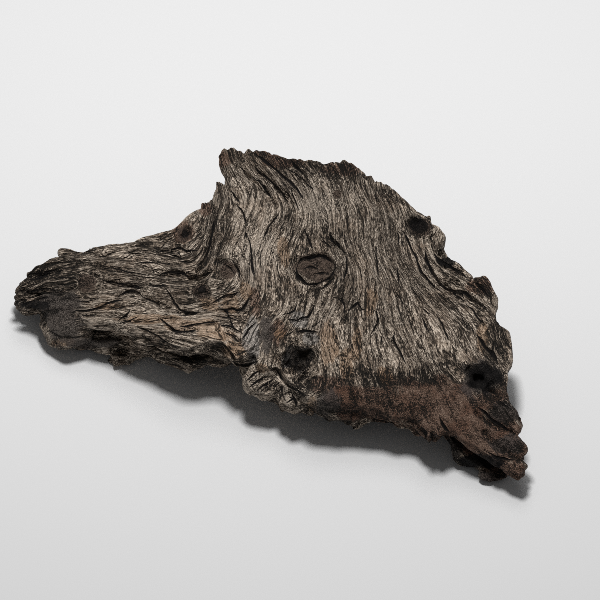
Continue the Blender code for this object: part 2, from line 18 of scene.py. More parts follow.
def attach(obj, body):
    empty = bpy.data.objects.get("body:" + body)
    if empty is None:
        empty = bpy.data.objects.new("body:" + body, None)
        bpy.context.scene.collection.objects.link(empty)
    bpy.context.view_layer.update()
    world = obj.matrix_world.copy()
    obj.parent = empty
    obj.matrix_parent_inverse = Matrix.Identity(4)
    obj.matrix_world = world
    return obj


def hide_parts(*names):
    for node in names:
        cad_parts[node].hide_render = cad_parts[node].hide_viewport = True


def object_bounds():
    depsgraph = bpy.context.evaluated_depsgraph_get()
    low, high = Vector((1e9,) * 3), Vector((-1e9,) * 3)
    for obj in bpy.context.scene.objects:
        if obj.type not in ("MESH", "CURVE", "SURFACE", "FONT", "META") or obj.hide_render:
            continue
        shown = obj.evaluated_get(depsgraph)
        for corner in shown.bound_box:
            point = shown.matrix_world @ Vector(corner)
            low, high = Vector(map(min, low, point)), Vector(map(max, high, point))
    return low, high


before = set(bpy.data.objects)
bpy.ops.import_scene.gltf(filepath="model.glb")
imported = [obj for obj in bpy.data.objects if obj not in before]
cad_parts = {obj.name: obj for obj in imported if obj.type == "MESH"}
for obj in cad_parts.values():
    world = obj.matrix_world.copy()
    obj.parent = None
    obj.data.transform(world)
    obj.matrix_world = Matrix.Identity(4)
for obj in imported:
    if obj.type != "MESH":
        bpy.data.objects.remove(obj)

bl_info = {
    "name": "Mopani Root",
    "version": (1, 0, 0),
    "blender": (4, 5, 0),
    "location": "View3D > Sidebar > Mopani Root",
    "description": "A weathered mopani root with carved grain, knots and cracks, and its stage",
    "category": "Add Mesh",
}

ROOT_NODE = "mopani_root"
SOLID_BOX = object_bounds()

# Real size, and the view that the picture points belong to
LENGTH = 0.300
PICTURE_LENGTH = 514.0
POINT = LENGTH / PICTURE_LENGTH
PICTURE_ORIGIN = (271.5, 351.8)
PICTURE_SIDE = 600.0
VIEW_ANGLE = math.radians(50.0)
SIN_VIEW = math.sin(VIEW_ANGLE)
COS_VIEW = math.cos(VIEW_ANGLE)

# The weathered face is a plane that rises towards the back
FACE_HEIGHT = 0.050
FACE_RISE = 0.147

# The snout droops leftwards from a picture column: column, length in points, how far and how curved
SNOUT_DROOP = (205.0, 190.0, 0.026, 1.1)
# Other places where the wood bends down, or up if below 0: by how much, then the picture rows and
# columns at which the bend starts and is full
BENDS = {
    "right front": (0.009, [("row", 365.0, 470.0), ("column", 395.0, 500.0)]),
    "front rim": (0.005, [("row", 385.0, 425.0), ("column", 295.0, 330.0), ("column", 450.0, 400.0)]),
    "broken end": (0.0016, [("row", 364.0, 384.0), ("column", 350.0, 400.0)]),
    "right side": (0.006, [("column", 465.0, 515.0), ("row", 400.0, 330.0)]),
    "back lift": (-0.004, [("row", 200.0, 150.0), ("column", 300.0, 230.0)]),
    "left lift": (-0.003, [("column", 250.0, 215.0), ("column", 150.0, 200.0), ("row", 290.0, 330.0)]),
}

# Layers of the wood: depth below the face of the top, of the underside and of the edge that the
# outline shows, then the outline
LAYERS = {
    "face": (0.000, 0.009, 0.002, [
        (15, 297), (17, 287), (21, 280), (27, 273), (38, 265), (49, 258), (62, 256), (84, 259), (103, 258),
        (116, 254), (140, 255), (157, 251), (170, 242), (179, 234), (183, 226), (189, 224), (199, 212),
        (203, 200), (206, 200), (208, 209), (211, 202), (214, 203), (215, 211), (216, 188), (219, 179),
        (223, 186), (232, 191),
        (230, 178), (226, 168), (220, 157), (224, 146), (236, 147), (246, 153), (246, 145), (257, 148),
        (266, 148), (284, 157), (300, 157), (308, 160), (320, 161), (333, 165), (335, 160), (351, 160),
        (362, 172), (377, 188), (394, 193), (405, 202), (413, 209), (419, 216), (430, 214), (436, 224),
        (446, 232), (447, 243), (438, 255), (448, 268), (462, 279), (474, 278), (486, 278), (493, 287),
        (498, 297), (498, 307),
        (499, 318), (510, 331), (515, 350), (512, 367), (508, 371), (509, 388), (514, 404), (523, 421),
        (521, 431), (516, 433), (527, 447), (528, 453), (522, 459), (528, 468), (521, 475), (511, 471),
        (498, 464), (485, 455), (470, 443), (456, 431), (446, 419), (445, 430), (441, 438), (436, 441),
        (430, 436), (424, 428), (413, 421), (396, 418), (380, 411), (357, 405), (338, 406), (320, 402),
        (306, 395), (291, 383), (278, 368), (268, 371), (258, 366), (257, 352), (250, 358), (236, 360),
        (229, 350), (222, 342), (210, 341), (202, 344), (188, 349), (172, 345), (150, 338), (122, 328),
        (112, 324), (82, 321), (73, 309), (62, 293), (50, 293), (40, 299), (24, 304), (16, 302)]),
    "core": (0.006, 0.028, 0.020, [
        (60, 262), (110, 258), (160, 254), (195, 225), (225, 200), (235, 165), (300, 170), (350, 175),
        (400, 205), (430, 235), (450, 280), (485, 300), (495, 350), (490, 390), (503, 418), (465, 408),
        (430, 396), (390, 392), (350, 390), (310, 380), (285, 360), (262, 345), (235, 335), (200, 330),
        (150, 325), (110, 310), (75, 290)]),
    "left tip under": (0.007, 0.017, 0.015, [
        (16, 299), (20, 289), (40, 278), (65, 275), (80, 290), (70, 300), (56, 303), (50, 307), (33, 308),
        (20, 306)]),
    "left lip": (0.017, 0.027, 0.025, [
        (38, 327), (41, 321), (48, 314), (54, 300), (70, 285), (110, 290), (131, 320), (131, 342),
        (121, 350), (108, 351), (90, 346), (72, 347), (57, 341), (47, 331)]),
    "upper fold": (0.009, 0.015, 0.013, [
        (120, 332), (150, 342), (170, 349), (190, 353), (205, 350), (222, 350), (232, 357), (236, 330),
        (150, 315)]),
    "middle fold": (0.017, 0.023, 0.021, [
        (118, 340), (140, 350), (165, 357), (190, 363), (206, 360), (222, 360), (231, 362), (240, 340),
        (150, 320)]),
    "lower fold": (0.024, 0.032, 0.030, [
        (112, 350), (130, 358), (150, 358), (172, 364), (190, 370), (203, 367), (214, 361), (232, 345),
        (150, 320)]),
    "splint": (0.028, 0.035, 0.034, [
        (108, 346), (112, 364), (120, 365), (137, 360), (150, 358), (175, 366), (190, 370), (200, 362),
        (150, 335), (118, 335)]),
    "left block": (0.010, 0.026, 0.023, [
        (243, 363), (246, 380), (252, 396), (262, 403), (279, 401), (284, 407), (291, 400), (292, 386),
        (280, 360), (250, 345)]),
    "right block": (0.010, 0.024, 0.021, [
        (281, 386), (284, 407), (297, 411), (303, 409), (313, 416), (319, 413), (322, 395), (306, 370),
        (285, 365)]),
    "left block slope": (0.007, 0.020, 0.016, [
        (245, 357), (249, 372), (256, 387), (266, 393), (280, 392), (290, 395), (294, 380), (280, 355),
        (255, 340)]),
    "right block slope": (0.006, 0.016, 0.012, [
        (282, 380), (287, 397), (300, 402), (312, 405), (322, 400), (326, 385), (308, 362), (288, 360)]),
    "front rim": (0.009, 0.020, 0.018, [
        (305, 385), (315, 415), (329, 425), (345, 431), (358, 424), (375, 420), (405, 425), (415, 426),
        (427, 435), (436, 443), (443, 436), (440, 405), (400, 385), (330, 370)]),
    "right lip": (0.018, 0.026, 0.024, [
        (444, 430), (453, 446), (461, 459), (472, 469), (484, 475), (490, 482), (500, 484), (507, 478),
        (507, 455), (490, 420), (470, 385), (430, 380)]),
    "right ledge": (0.009, 0.017, 0.011, [
        (442, 245), (451, 255), (459, 259), (466, 268), (474, 274), (484, 290), (455, 310), (425, 270)]),
    "right edge": (0.008, 0.019, 0.011, [
        (476, 286), (484, 294), (489, 305), (489, 322), (498, 336), (503, 351), (500, 366), (495, 375),
        (497, 392), (503, 407), (510, 420), (490, 425), (460, 350), (455, 290)]),
    "back layer": (0.008, 0.023, 0.010, [
        (40, 278), (62, 265), (100, 264), (150, 260), (180, 245), (200, 222), (226, 192), (232, 164),
        (260, 160), (300, 170), (342, 176), (375, 202), (400, 220), (426, 246), (440, 266), (400, 310),
        (250, 270), (100, 285)]),
    "belly": (0.022, 0.034, 0.028, [
        (120, 290), (150, 270), (230, 235), (260, 195), (330, 190), (400, 230), (440, 300), (460, 350),
        (440, 385), (350, 375), (290, 355), (240, 330), (180, 325), (130, 315)]),
}

# Rounds that smooth the blank and the carved surface
BLANK_ROUNDS = 3
SURFACE_ROUNDS = 1

# Rounded lumps: picture point, height of the centre above the ground, then the three radii
LUMPS = {
    "back burl": ((360, 238), 0.024, (0.040, 0.028, 0.026)),
    "back burl shoulder": ((315, 262), 0.034, (0.042, 0.026, 0.020)),
    "right root stub": ((455, 345), 0.016, (0.022, 0.030, 0.014)),
    "snout keel": ((150, 318), 0.022, (0.038, 0.018, 0.012)),
    "slate bulge": ((68, 318), 0.018, (0.016, 0.018, 0.012)),
    "left block swell": ((263, 385), 0.026, (0.0120, 0.0100, 0.0120)),
    "right block swell": ((299, 398), 0.027, (0.0110, 0.0080, 0.0090)),
    "pale knob": ((224, 358), 0.026, (0.006, 0.004, 0.006)),
    "crumb one": ((283, 354), 0.044, (0.005, 0.004, 0.006)),
    "crumb two": ((287, 366), 0.038, (0.004, 0.004, 0.004)),
    "crumb three": ((305, 338), 0.047, (0.005, 0.004, 0.004)),
    "crumb four": ((283, 376), 0.033, (0.005, 0.004, 0.005)),
}
LUMP_SIDES = (32, 20)

# Torn splinters at the edges: foot and tip in picture points, depth below the face, radius at the foot;
# the tip's radius is a share of the foot's
SPLINTERS = [
    ((222, 202), (219, 179), 0.002, 0.0028), ((215, 217), (212, 202), 0.002, 0.0024),
    ((204, 216), (204, 200), 0.003, 0.0026), ((190, 226), (196, 212), 0.003, 0.0024),
    ((183, 234), (182, 221), 0.003, 0.0024), ((238, 174), (221, 152), 0.003, 0.0044),
    ((256, 168), (249, 148), 0.002, 0.0034), ((338, 178), (335, 163), 0.003, 0.0034),
    ((430, 226), (431, 213), 0.002, 0.0024),
    ((440, 262), (459, 264), 0.011, 0.0030),
    ((486, 325), (506, 331), 0.004, 0.0040), ((490, 345), (511, 349), 0.004, 0.0040),
    ((488, 360), (508, 366), 0.006, 0.0036), ((486, 396), (510, 406), 0.005, 0.0040),
    ((485, 404), (522, 421), 0.004, 0.0044), ((484, 420), (527, 450), 0.004, 0.0048),
    ((490, 440), (528, 468), 0.006, 0.0046), ((470, 430), (510, 471), 0.008, 0.0038),
    ((48, 288), (15, 297), 0.005, 0.0042), ((52, 276), (20, 284), 0.004, 0.0038),
    ((60, 268), (27, 274), 0.004, 0.0034),
    ((150, 350), (114, 365), 0.032, 0.0030), ((470, 450), (499, 482), 0.023, 0.0042),
    ((424, 420), (437, 441), 0.010, 0.0036),
]
SPLINTER_TIP = 0.45
SPLINTER_SIDES = 12

# Low points that it stands on: picture point where it meets the ground, and radii of the stub
FEET = {
    "splint foot": ((122, 359), (0.009, 0.005, 0.005)),
    "right front foot": ((493, 476), (0.008, 0.0045, 0.004)),
    "back foot": ((367, 242), (0.018, 0.016, 0.024)),
}
# Height of a foot's centre, in its radius. Everything else keeps a gap over the ground, which opens
# round a foot between two multiples of its radii
FOOT_RISE = 0.7
GROUND_GAP = 0.003
FOOT_EDGE = (0.8, 1.3)

# Knots and pits: picture point, radii in picture points, depth of the pit and height of its collar
KNOTS = [
    ((317, 267), (20, 14), 0.0032, 0.0018),
    ((228, 268), (11, 10), 0.0032, 0.0014),
    ((203, 290), (9, 7), 0.0034, 0.0012),
    ((186, 232), (7, 8), 0.0045, 0.0012),
    ((88, 282), (10, 12), 0.0018, 0.0012),
    ((421, 224), (12, 9), 0.0055, 0.0015),
    ((481, 374), (12, 12), 0.0090, 0.0008),
    ((492, 389), (8, 11), 0.0080, 0.0004),
    ((309, 353), (11, 12), 0.0105, 0.0004),
    ((295, 361), (10, 10), 0.0095, 0.0004),
    ((299, 345), (7, 5), 0.0050, 0.0000),
    ((305, 376), (12, 6), 0.0040, 0.0000),
    ((338, 192), (4, 4), 0.0016, 0.0008),
    ((455, 281), (8, 4), 0.0022, 0.0012),
]

# Height, size and seed of the noise in the knots' outlines, then reach of the pit and reach and width
# of its collar, in the knot's radii
KNOT_UNEVENNESS = (0.45, 0.009, 5.0)
KNOT_PIT = 0.85
KNOT_COLLAR = (1.25, 0.35)
# Crumbled wood inside the knots: height, size and seed of the crumbs, then reach, width and depth of
# the crack round it
KNOT_CRUMBS = (0.0030, 0.0030, 6.0)
KNOT_CRACK = (0.95, 0.10, 0.0020)
# Knots and long cracks are cut where the wood faces up, fully once it does so by 1 / FACING_GAIN, and
# down to this depth
FACING_GAIN = 1.6
FACE_DEPTH = 0.012

# Long open cracks: width, depth and the line that they follow
CRACKS = [
    (0.0016, 0.0040, [(240, 163), (246, 170), (252, 176), (258, 178), (266, 188), (275, 203)]),
    (0.0014, 0.0035, [(256, 165), (266, 171), (276, 181), (286, 192), (298, 207)]),
    (0.0016, 0.0035, [(214, 207), (213, 225), (211, 243), (206, 256), (199, 266)]),
    (0.0016, 0.0030, [(162, 272), (186, 271), (200, 274), (212, 271)]),
    (0.0016, 0.0035, [(118, 295), (134, 289), (150, 297), (167, 304)]),
    (0.0014, 0.0030, [(109, 278), (130, 283), (150, 286)]),
    (0.0014, 0.0030, [(331, 233), (338, 242), (346, 251)]),
    (0.0016, 0.0030, [(430, 265), (440, 278), (458, 289), (476, 298), (485, 305)]),
    (0.0016, 0.0030, [(30, 272), (45, 272), (58, 268)]),
    (0.0016, 0.0030, [(22, 290), (35, 287), (50, 289), (62, 291)]),
    (0.0018, 0.0035, [(480, 412), (490, 420), (500, 427), (514, 432)]),
    (0.0018, 0.0035, [(486, 432), (500, 445), (522, 459)]),
    (0.0014, 0.0025, [(220, 308), (240, 309), (251, 296)]),
]

# Lines that the grain follows from the top edge down, one beside the other
GRAIN_LINES = [
    [(204, 199), (200, 208), (180, 226), (160, 243), (120, 247), (80, 252), (45, 256), (20, 280)],
    [(212, 203), (208, 225), (190, 245), (150, 251), (95, 258), (50, 268), (22, 283)],
    [(216, 190), (214, 222), (199, 262), (150, 270), (95, 268), (45, 278), (18, 291)],
    [(222, 180), (222, 215), (208, 268), (165, 281), (115, 280), (60, 289), (20, 300)],
    [(225, 150), (240, 185), (228, 250), (205, 290), (150, 296), (132, 290), (110, 296), (85, 300)],
    [(232, 150), (256, 190), (243, 262), (222, 297), (170, 304), (140, 300), (80, 308)],
    [(240, 153), (265, 190), (256, 240), (246, 300), (195, 314), (130, 320), (80, 316)],
    [(250, 150), (280, 195), (265, 250), (256, 312), (243, 337), (225, 322), (170, 330), (120, 330)],
    [(258, 148), (290, 195), (275, 260), (262, 325), (250, 352)],
    [(270, 155), (300, 200), (284, 260), (290, 310), (270, 360)],
    [(285, 160), (310, 205), (297, 255), (305, 290), (300, 318), (280, 340)],
    [(300, 162), (320, 200), (325, 235), (343, 275), (325, 320), (330, 380)],
    [(320, 165), (333, 200), (338, 235), (352, 290), (350, 350), (352, 375)],
    [(340, 165), (350, 200), (368, 270), (375, 340), (395, 415)],
    [(360, 172), (372, 210), (390, 285), (410, 360), (435, 440)],
    [(380, 190), (392, 225), (415, 285), (445, 350), (490, 425), (510, 450)],
    [(400, 200), (408, 235), (440, 285), (475, 335), (500, 395), (520, 420)],
    [(412, 215), (418, 245), (450, 285), (490, 325), (505, 370)],
    [(440, 235), (440, 255), (480, 285), (505, 335), (512, 350)],
]

# Ridges along the grain, coarse, narrow and fine: length, width and height, shift along the grain, and
# the share of the height that lies below the skin; the less the roundness, the flatter their tops
COARSE_RIDGES = (0.060, 0.0080, 0.0042, 0.0, 0.35)
NARROW_RIDGES = (0.034, 0.0046, 0.0024, 0.2, 0.35)
FINE_RIDGES = (0.018, 0.0019, 0.0006, 0.5, 0.40)
RIDGE_ROUNDNESS = 0.75
# Slow and quick sway of the fibres from side to side: length, width, height and seed
RIDGE_WAVES = (0.036, 0.020, 0.0040, 4.0)
FINE_WAVES = (0.012, 0.007, 0.0011, 7.0)
# Height over which the coarse and the fine ridges change from one layer of the wood to the next
LAYER_HEIGHT = 0.0075
FINE_LAYER_HEIGHT = 0.0030

# Thin open grooves along the grain: length, spacing, depth and width, and the seeds of the grooves and
# of the patches that have them; how steep their sides are; length, width and edge of a patch
GROOVES = [(0.060, 0.0090, 0.0012, 0.00060, 0.0, 1.5), (0.040, 0.0055, 0.0008, 0.00055, 1.0, 4.5)]
GROOVE_STEEPNESS = 1.6
GROOVE_PATCHES = (0.030, 0.012, -0.25, 0.15)

# How strongly the ridges stand out, then spots where it differs: picture point, radii and strength
GRAIN_STRENGTH = 0.80
GRAIN_SPOTS = [
    ((262, 185), (58, 48), 1.0), ((180, 320), (95, 32), 1.0), ((460, 280), (42, 30), 1.0),
    ((66, 316), (18, 24), 0.15), ((257, 340), (12, 22), 0.3), ((330, 405), (14, 12), 0.2),
    ((420, 398), (62, 20), 0.45), ((262, 385), (24, 20), 1.0),
]
# Where a spot starts and ends to fade, in its radii
SPOT_EDGE = (0.6, 1.3)
# Share that the coarse and the fine ridges lose on steep walls, and that the hidden swells lose where
# the wood faces up
EDGE_CALM = 0.55
FINE_EDGE_CALM = 0.7
UPPER_CALM = 0.85

# Height, size and seed of the breaks at the edges, which are shorter upright, and of the swells; the
# depths between which the wood is hidden
EDGE_BREAKS = (0.0030, 0.011, 9.0)
EDGE_SHORTNESS = 2.0
UNDER_SWELL = (0.0065, 0.024, 3.0)
HIDDEN_DEPTHS = (0.010, 0.020)
SLOW_SWELL = (0.0020, 0.045, 2.0)

# Fine cracks that only the surface shows, as lines of picture points: wide and deep ones, then
# middling ones, then hairlines
WIDE_CRACKS = [
    [(241, 165), (246, 170), (251, 175), (256, 178), (260, 178)],
    [(261, 180), (265, 185), (269, 190), (272, 196)],
    [(232, 189), (236, 194), (240, 199)],
    [(331, 232), (334, 238), (340, 244), (345, 250)],
    [(162, 273), (172, 271), (183, 271), (188, 271)],
    [(186, 273), (190, 276), (200, 275), (208, 272), (213, 270)],
    [(298, 266), (298, 272), (302, 278), (308, 282), (316, 283), (323, 281)],
    [(306, 257), (313, 256), (319, 255)],
    [(31, 272), (40, 272), (48, 271), (57, 268)],
    [(120, 295), (127, 292), (134, 289), (139, 291), (143, 295)],
    [(299, 331), (305, 330), (312, 331), (319, 331)],
    [(427, 250), (429, 260), (433, 270), (438, 277), (442, 283), (448, 288), (455, 290), (462, 290),
     (468, 292), (474, 297), (480, 302), (487, 306)],
    [(436, 252), (440, 258), (446, 262), (453, 266), (460, 270), (467, 275)],
    [(477, 280), (483, 287), (490, 294)],
    [(480, 407), (486, 412), (492, 418), (500, 424), (508, 429), (516, 433)],
    [(277, 368), (283, 377), (289, 381), (292, 386), (298, 390), (304, 395), (309, 400)],
    [(292, 158), (297, 164), (303, 170)],
    [(480, 335), (484, 342), (490, 350), (495, 355), (500, 362)],
    [(441, 417), (445, 425), (451, 432)],
]
MIDDLING_CRACKS = [
    [(256, 165), (260, 170), (266, 173), (272, 180), (279, 186), (284, 192), (289, 199)],
    [(258, 152), (264, 157), (272, 163), (282, 172), (291, 179), (298, 187), (304, 196)],
    [(238, 203), (243, 209), (246, 216), (247, 226)],
    [(305, 227), (308, 233), (311, 240), (313, 246)],
    [(322, 235), (327, 241), (333, 247)],
    [(347, 256), (348, 264), (347, 272), (345, 279)],
    [(279, 212), (274, 219), (269, 226), (265, 236)],
    [(232, 257), (236, 262), (240, 269), (241, 278)],
    [(215, 218), (213, 230), (211, 242), (208, 252), (203, 260), (198, 266)],
    [(155, 251), (165, 250), (172, 248), (180, 246), (187, 249), (198, 249)],
    [(170, 252), (177, 254), (182, 258)],
    [(333, 279), (328, 284), (320, 289)],
    [(30, 279), (38, 278), (45, 275), (50, 271)],
    [(25, 293), (32, 290), (40, 288), (50, 288), (56, 290)],
    [(104, 279), (110, 280), (118, 282), (128, 283), (137, 285), (146, 287)],
    [(143, 295), (150, 298), (157, 301), (166, 304)],
    [(75, 309), (85, 310), (95, 308), (102, 305), (108, 302), (115, 300), (124, 299)],
    [(118, 320), (122, 317), (126, 315), (130, 310)],
    [(210, 303), (218, 299), (226, 295), (233, 294), (240, 291)],
    [(220, 309), (228, 309), (233, 307), (238, 309), (243, 308), (247, 303), (250, 297)],
    [(222, 324), (230, 325), (236, 328), (243, 332)],
    [(244, 337), (250, 328), (256, 322)],
    [(286, 313), (291, 312), (296, 309), (298, 303)],
    [(290, 318), (297, 319), (303, 317), (309, 317), (313, 311), (315, 305)],
    [(335, 296), (340, 297), (342, 301)],
    [(350, 309), (356, 304), (358, 301), (362, 308), (366, 309)],
    [(405, 230), (410, 240), (416, 252), (420, 262), (424, 272), (430, 279), (437, 286), (443, 291)],
    [(455, 293), (462, 296), (466, 300)],
    [(468, 303), (474, 309), (480, 317), (488, 325)],
    [(396, 288), (400, 296), (404, 302)],
    [(412, 286), (417, 291), (421, 297)],
    [(425, 308), (431, 313)],
    [(440, 315), (444, 325), (448, 333), (450, 339)],
    [(488, 452), (497, 457), (505, 459), (515, 460)],
    [(50, 330), (56, 333), (62, 336), (72, 337), (85, 336), (97, 337), (107, 339)],
    [(247, 381), (254, 374), (262, 370)],
    [(250, 388), (257, 381), (268, 374)],
    [(254, 394), (262, 387), (275, 379)],
    [(259, 398), (267, 391), (280, 383)],
    [(266, 400), (274, 395), (283, 388)],
    [(283, 395), (291, 391), (298, 388)],
    [(288, 402), (296, 397), (305, 396)],
    [(292, 390), (296, 399), (299, 408)],
    [(304, 394), (307, 402), (310, 409)],
    [(232, 360), (240, 364), (250, 364), (258, 361)],
    [(299, 264), (302, 258), (309, 255), (318, 253), (327, 255), (334, 259), (337, 265)],
    [(322, 281), (329, 278), (334, 273), (337, 267)],
    [(166, 287), (170, 293), (174, 300), (180, 308), (190, 311), (202, 312)],
    [(160, 317), (168, 324), (176, 330), (186, 332)],
    [(138, 326), (150, 331), (160, 336), (170, 344), (180, 348)],
    [(292, 187), (296, 198), (300, 207)],
    [(397, 330), (395, 339), (402, 352), (407, 362)],
    [(377, 310), (380, 320), (373, 332)],
    [(306, 267), (312, 265), (318, 267)],
    [(317, 273), (324, 271), (330, 272)],
    [(224, 263), (231, 266), (235, 272)],
    [(283, 386), (284, 394), (287, 401)],
    [(272, 247), (274, 252)],
    [(500, 400), (506, 404), (511, 407)],
]
HAIRLINE_CRACKS = [
    [(303, 161), (308, 166), (314, 171)],
    [(18, 306), (28, 302), (40, 298), (49, 296)],
    [(55, 277), (62, 276), (70, 276), (78, 277)],
    [(110, 266), (124, 270), (138, 272), (150, 274)],
    [(118, 323), (130, 320), (138, 316)],
    [(220, 306), (228, 312), (232, 320), (236, 330)],
    [(285, 164), (296, 171), (308, 181), (315, 188)],
    [(248, 231), (252, 246), (253, 260), (256, 274)],
    [(342, 296), (346, 306), (346, 316)],
    [(384, 334), (382, 348)],
    [(257, 396), (265, 389), (278, 381)],
    [(271, 402), (279, 397), (287, 392)],
    [(463, 315), (469, 327)],
    [(284, 222), (281, 228)],
    [(250, 254), (253, 262), (254, 272)],
    [(181, 260), (195, 261)],
    [(139, 261), (148, 261), (158, 262)],
    [(146, 252), (155, 252)],
    [(150, 284), (158, 284), (168, 284)],
    [(77, 301), (83, 300), (88, 301), (93, 299), (99, 297)],
    [(84, 315), (92, 314), (100, 313)],
    [(180, 303), (190, 303), (197, 303)],
    [(180, 314), (190, 313), (200, 313)],
    [(180, 326), (195, 324), (210, 322), (222, 320)],
    [(180, 331), (200, 329)],
    [(218, 315), (228, 316), (236, 318), (242, 321)],
    [(225, 331), (233, 335), (240, 341)],
    [(310, 327), (317, 324), (322, 320)],
    [(355, 183), (356, 190)],
    [(376, 190), (378, 198)],
    [(398, 228), (400, 235), (400, 244)],
    [(422, 314), (426, 322), (431, 330)],
    [(377, 240), (378, 256), (380, 275)],
    [(398, 265), (400, 275), (401, 286)],
    [(343, 318), (347, 320)],
    [(247, 226), (246, 240)],
]
# Half width in picture points and depth of each kind
CRACK_KINDS = [
    (1.10, 0.0036, WIDE_CRACKS),
    (0.72, 0.0024, MIDDLING_CRACKS),
    (0.48, 0.0014, HAIRLINE_CRACKS),
]
# How far the cracks sway from their lines, in picture points, with the size of the sway and its seeds
# across and down; unevenness of their widths, with its size and seed
CRACK_WANDER = (1.2, 0.006, 11.0, 13.0)
CRACK_UNEVENNESS = (0.6, 0.008, 15.0)
# Share of the width at their ends, and length over which they widen
CRACK_END = 0.35
CRACK_TAPER = 9.0
# How far off a crack is felt and how steep its sides are, in half widths, and the shares of that
# distance over which it fades
CRACK_REACH = 8.0
CRACK_SLOPE = 0.55
CRACK_FADE = (0.45, 0.75)
# How far the wood faces up, and its level in the flat wood, where cracks begin and are fully deep
CRACK_FACING = (0.0, 0.4)
CRACK_LEVELS = (-0.016, -0.010)

# Zones of colour, some of them painted light and shade: how far the fibres break up the edge, then picture
# point and radii of each spot
ZONES = {
    "bleached": (0.5, [
        ((150, 316), (80, 20)), ((262, 262), (34, 85)), ((322, 335), (30, 42)), ((420, 335), (62, 36)),
        ((395, 255), (60, 60)), ((240, 200), (22, 36)), ((100, 296), (26, 12)), ((350, 205), (50, 28)),
        # Of these, the spots on the two front blocks at (262, 384) and (299, 400) are painted light
        ((200, 325), (50, 20)), ((262, 384), (28, 20)), ((299, 400), (15, 12)),
        ((256, 345), (12, 20)),
    ]),
    # Painted light: the lit front blocks and other sunlit spots made paler still
    "pale": (0.6, [
        ((263, 385), (26, 19)), ((299, 399), (18, 12)), ((256, 250), (14, 40)), ((322, 200), (20, 14)),
    ]),
    "plug": (0.2, [
        ((317, 266), (20, 16)), ((228, 268), (9, 9)), ((203, 290), (8, 7)), ((186, 233), (7, 8)),
        ((88, 283), (8, 11)), ((421, 224), (11, 9)), ((338, 192), (4, 4)),
    ]),
    "russet": (0.4, [
        ((432, 402), (76, 25)), ((500, 440), (36, 30)), ((465, 425), (40, 24)), ((505, 474), (26, 16)),
        ((432, 430), (18, 16)), ((490, 400), (18, 14)), ((375, 412), (46, 10)), ((350, 396), (24, 12)),
    ]),
    "rusty": (0.5, [
        ((222, 156), (9, 9)), ((282, 160), (26, 5)), ((205, 206), (7, 8)), ((186, 232), (10, 10)),
        ((345, 166), (20, 6)), ((268, 150), (14, 5)), ((256, 302), (6, 14)), ((279, 332), (10, 14)),
        ((335, 386), (20, 12)), ((484, 284), (14, 9)),
    ]),
    "amber": (0.5, [
        ((238, 350), (14, 9)), ((264, 367), (8, 5)), ((246, 290), (6, 10)), ((386, 375), (7, 8)),
        ((348, 364), (8, 16)), ((212, 328), (16, 10)), ((62, 342), (14, 4)), ((485, 335), (6, 14)),
        ((330, 345), (9, 24)), ((358, 345), (5, 18)), ((208, 303), (10, 7)), ((232, 300), (8, 12)),
        ((281, 334), (7, 6)), ((150, 318), (30, 5)), ((190, 325), (28, 6)), ((112, 305), (14, 4)),
        ((225, 335), (12, 5)), ((314, 404), (5, 9)), ((285, 250), (6, 14)), ((372, 300), (7, 14)),
    ]),
    "slate": (0.3, [
        ((252, 338), (9, 24)), ((300, 320), (10, 8)), ((312, 338), (9, 7)), ((286, 360), (5, 8)),
    ]),
    # Smooth dark wood at the left tip, the lips and the finger tops; the spots on the right lip under the
    # fingers are painted shade
    "sooty": (0.7, [
        ((64, 316), (19, 28)), ((50, 298), (12, 9)), ((329, 402), (13, 15)), ((268, 333), (8, 18)),
        ((90, 342), (30, 6)), ((506, 412), (18, 12)), ((510, 444), (18, 9)),
        ((480, 380), (20, 20)), ((455, 450), (9, 11)), ((471, 464), (11, 8)), ((488, 478), (17, 7)),
    ]),
    "sunlit": (0.5, [
        ((263, 385), (26, 19)), ((298, 400), (15, 11)), ((100, 341), (28, 8)), ((256, 250), (26, 60)),
        ((150, 322), (52, 10)), ((205, 326), (28, 9)), ((335, 345), (16, 34)), ((240, 185), (14, 26)),
        ((470, 300), (16, 26)), ((326, 200), (36, 24)),
    ]),
    "shaded": (0.5, [
        ((42, 282), (34, 30)), ((300, 157), (62, 9)), ((395, 194), (22, 8)), ((335, 412), (34, 14)),
        ((345, 169), (22, 9)), ((265, 151), (16, 7)), ((360, 370), (14, 8)), ((405, 371), (24, 6)),
        ((452, 369), (28, 8)), ((484, 286), (16, 11)), ((421, 224), (14, 12)), ((448, 262), (11, 9)),
        ((500, 345), (14, 26)), ((503, 405), (16, 24)), ((66, 316), (13, 20)), ((505, 476), (28, 14)),
        ((190, 362), (40, 9)), ((455, 262), (17, 14)), ((240, 150), (24, 5)),
        ((380, 402), (18, 14)), ((350, 412), (34, 12)), ((395, 412), (46, 10)),
        ((372, 388), (30, 16)), ((492, 400), (18, 12)), ((432, 436), (16, 10)), ((512, 412), (14, 14)),
        ((516, 452), (12, 14)), ((504, 418), (20, 12)), ((308, 386), (22, 10)),
        ((455, 450), (10, 12)), ((470, 464), (12, 9)), ((488, 477), (18, 8)), ((418, 380), (32, 6)),
        ((315, 249), (9, 6)),
    ]),
    # Black rot in the pits, and painted shade in the slot under the fingers and on the wall below the
    # right ledge
    "charred": (0.4, [
        ((484, 378), (15, 15)), ((301, 357), (17, 15)), ((37, 304), (14, 4)), ((420, 223), (9, 8)),
        ((186, 233), (4, 5)), ((478, 462), (34, 7)), ((203, 288), (4, 4)), ((447, 261), (9, 5)),
    ]),
}
# Where a spot of a zone starts and ends to fade, in its radii, and the noise that its edge follows:
# height, size and seed
ZONE_EDGE = (0.6, 1.35)
ZONE_WANDER = (0.55, 0.010, 1.0)

# Crests and swells: rounds of averaging that they stand out from, and height over which they are marked.
# The wood is paler on them as wear and darker in the hollows between as painted shade
RELIEF = {"crest": (6, 0.0006), "swell": (60, 0.0040)}
# How far the wood faces down, and how deep it lies, where the painted shade of the underside begins and is
# full
SHADED_UNDERSIDE_FACING = (-0.1, 0.5)
SHADED_UNDERSIDE_DEPTHS = (0.004, 0.012)

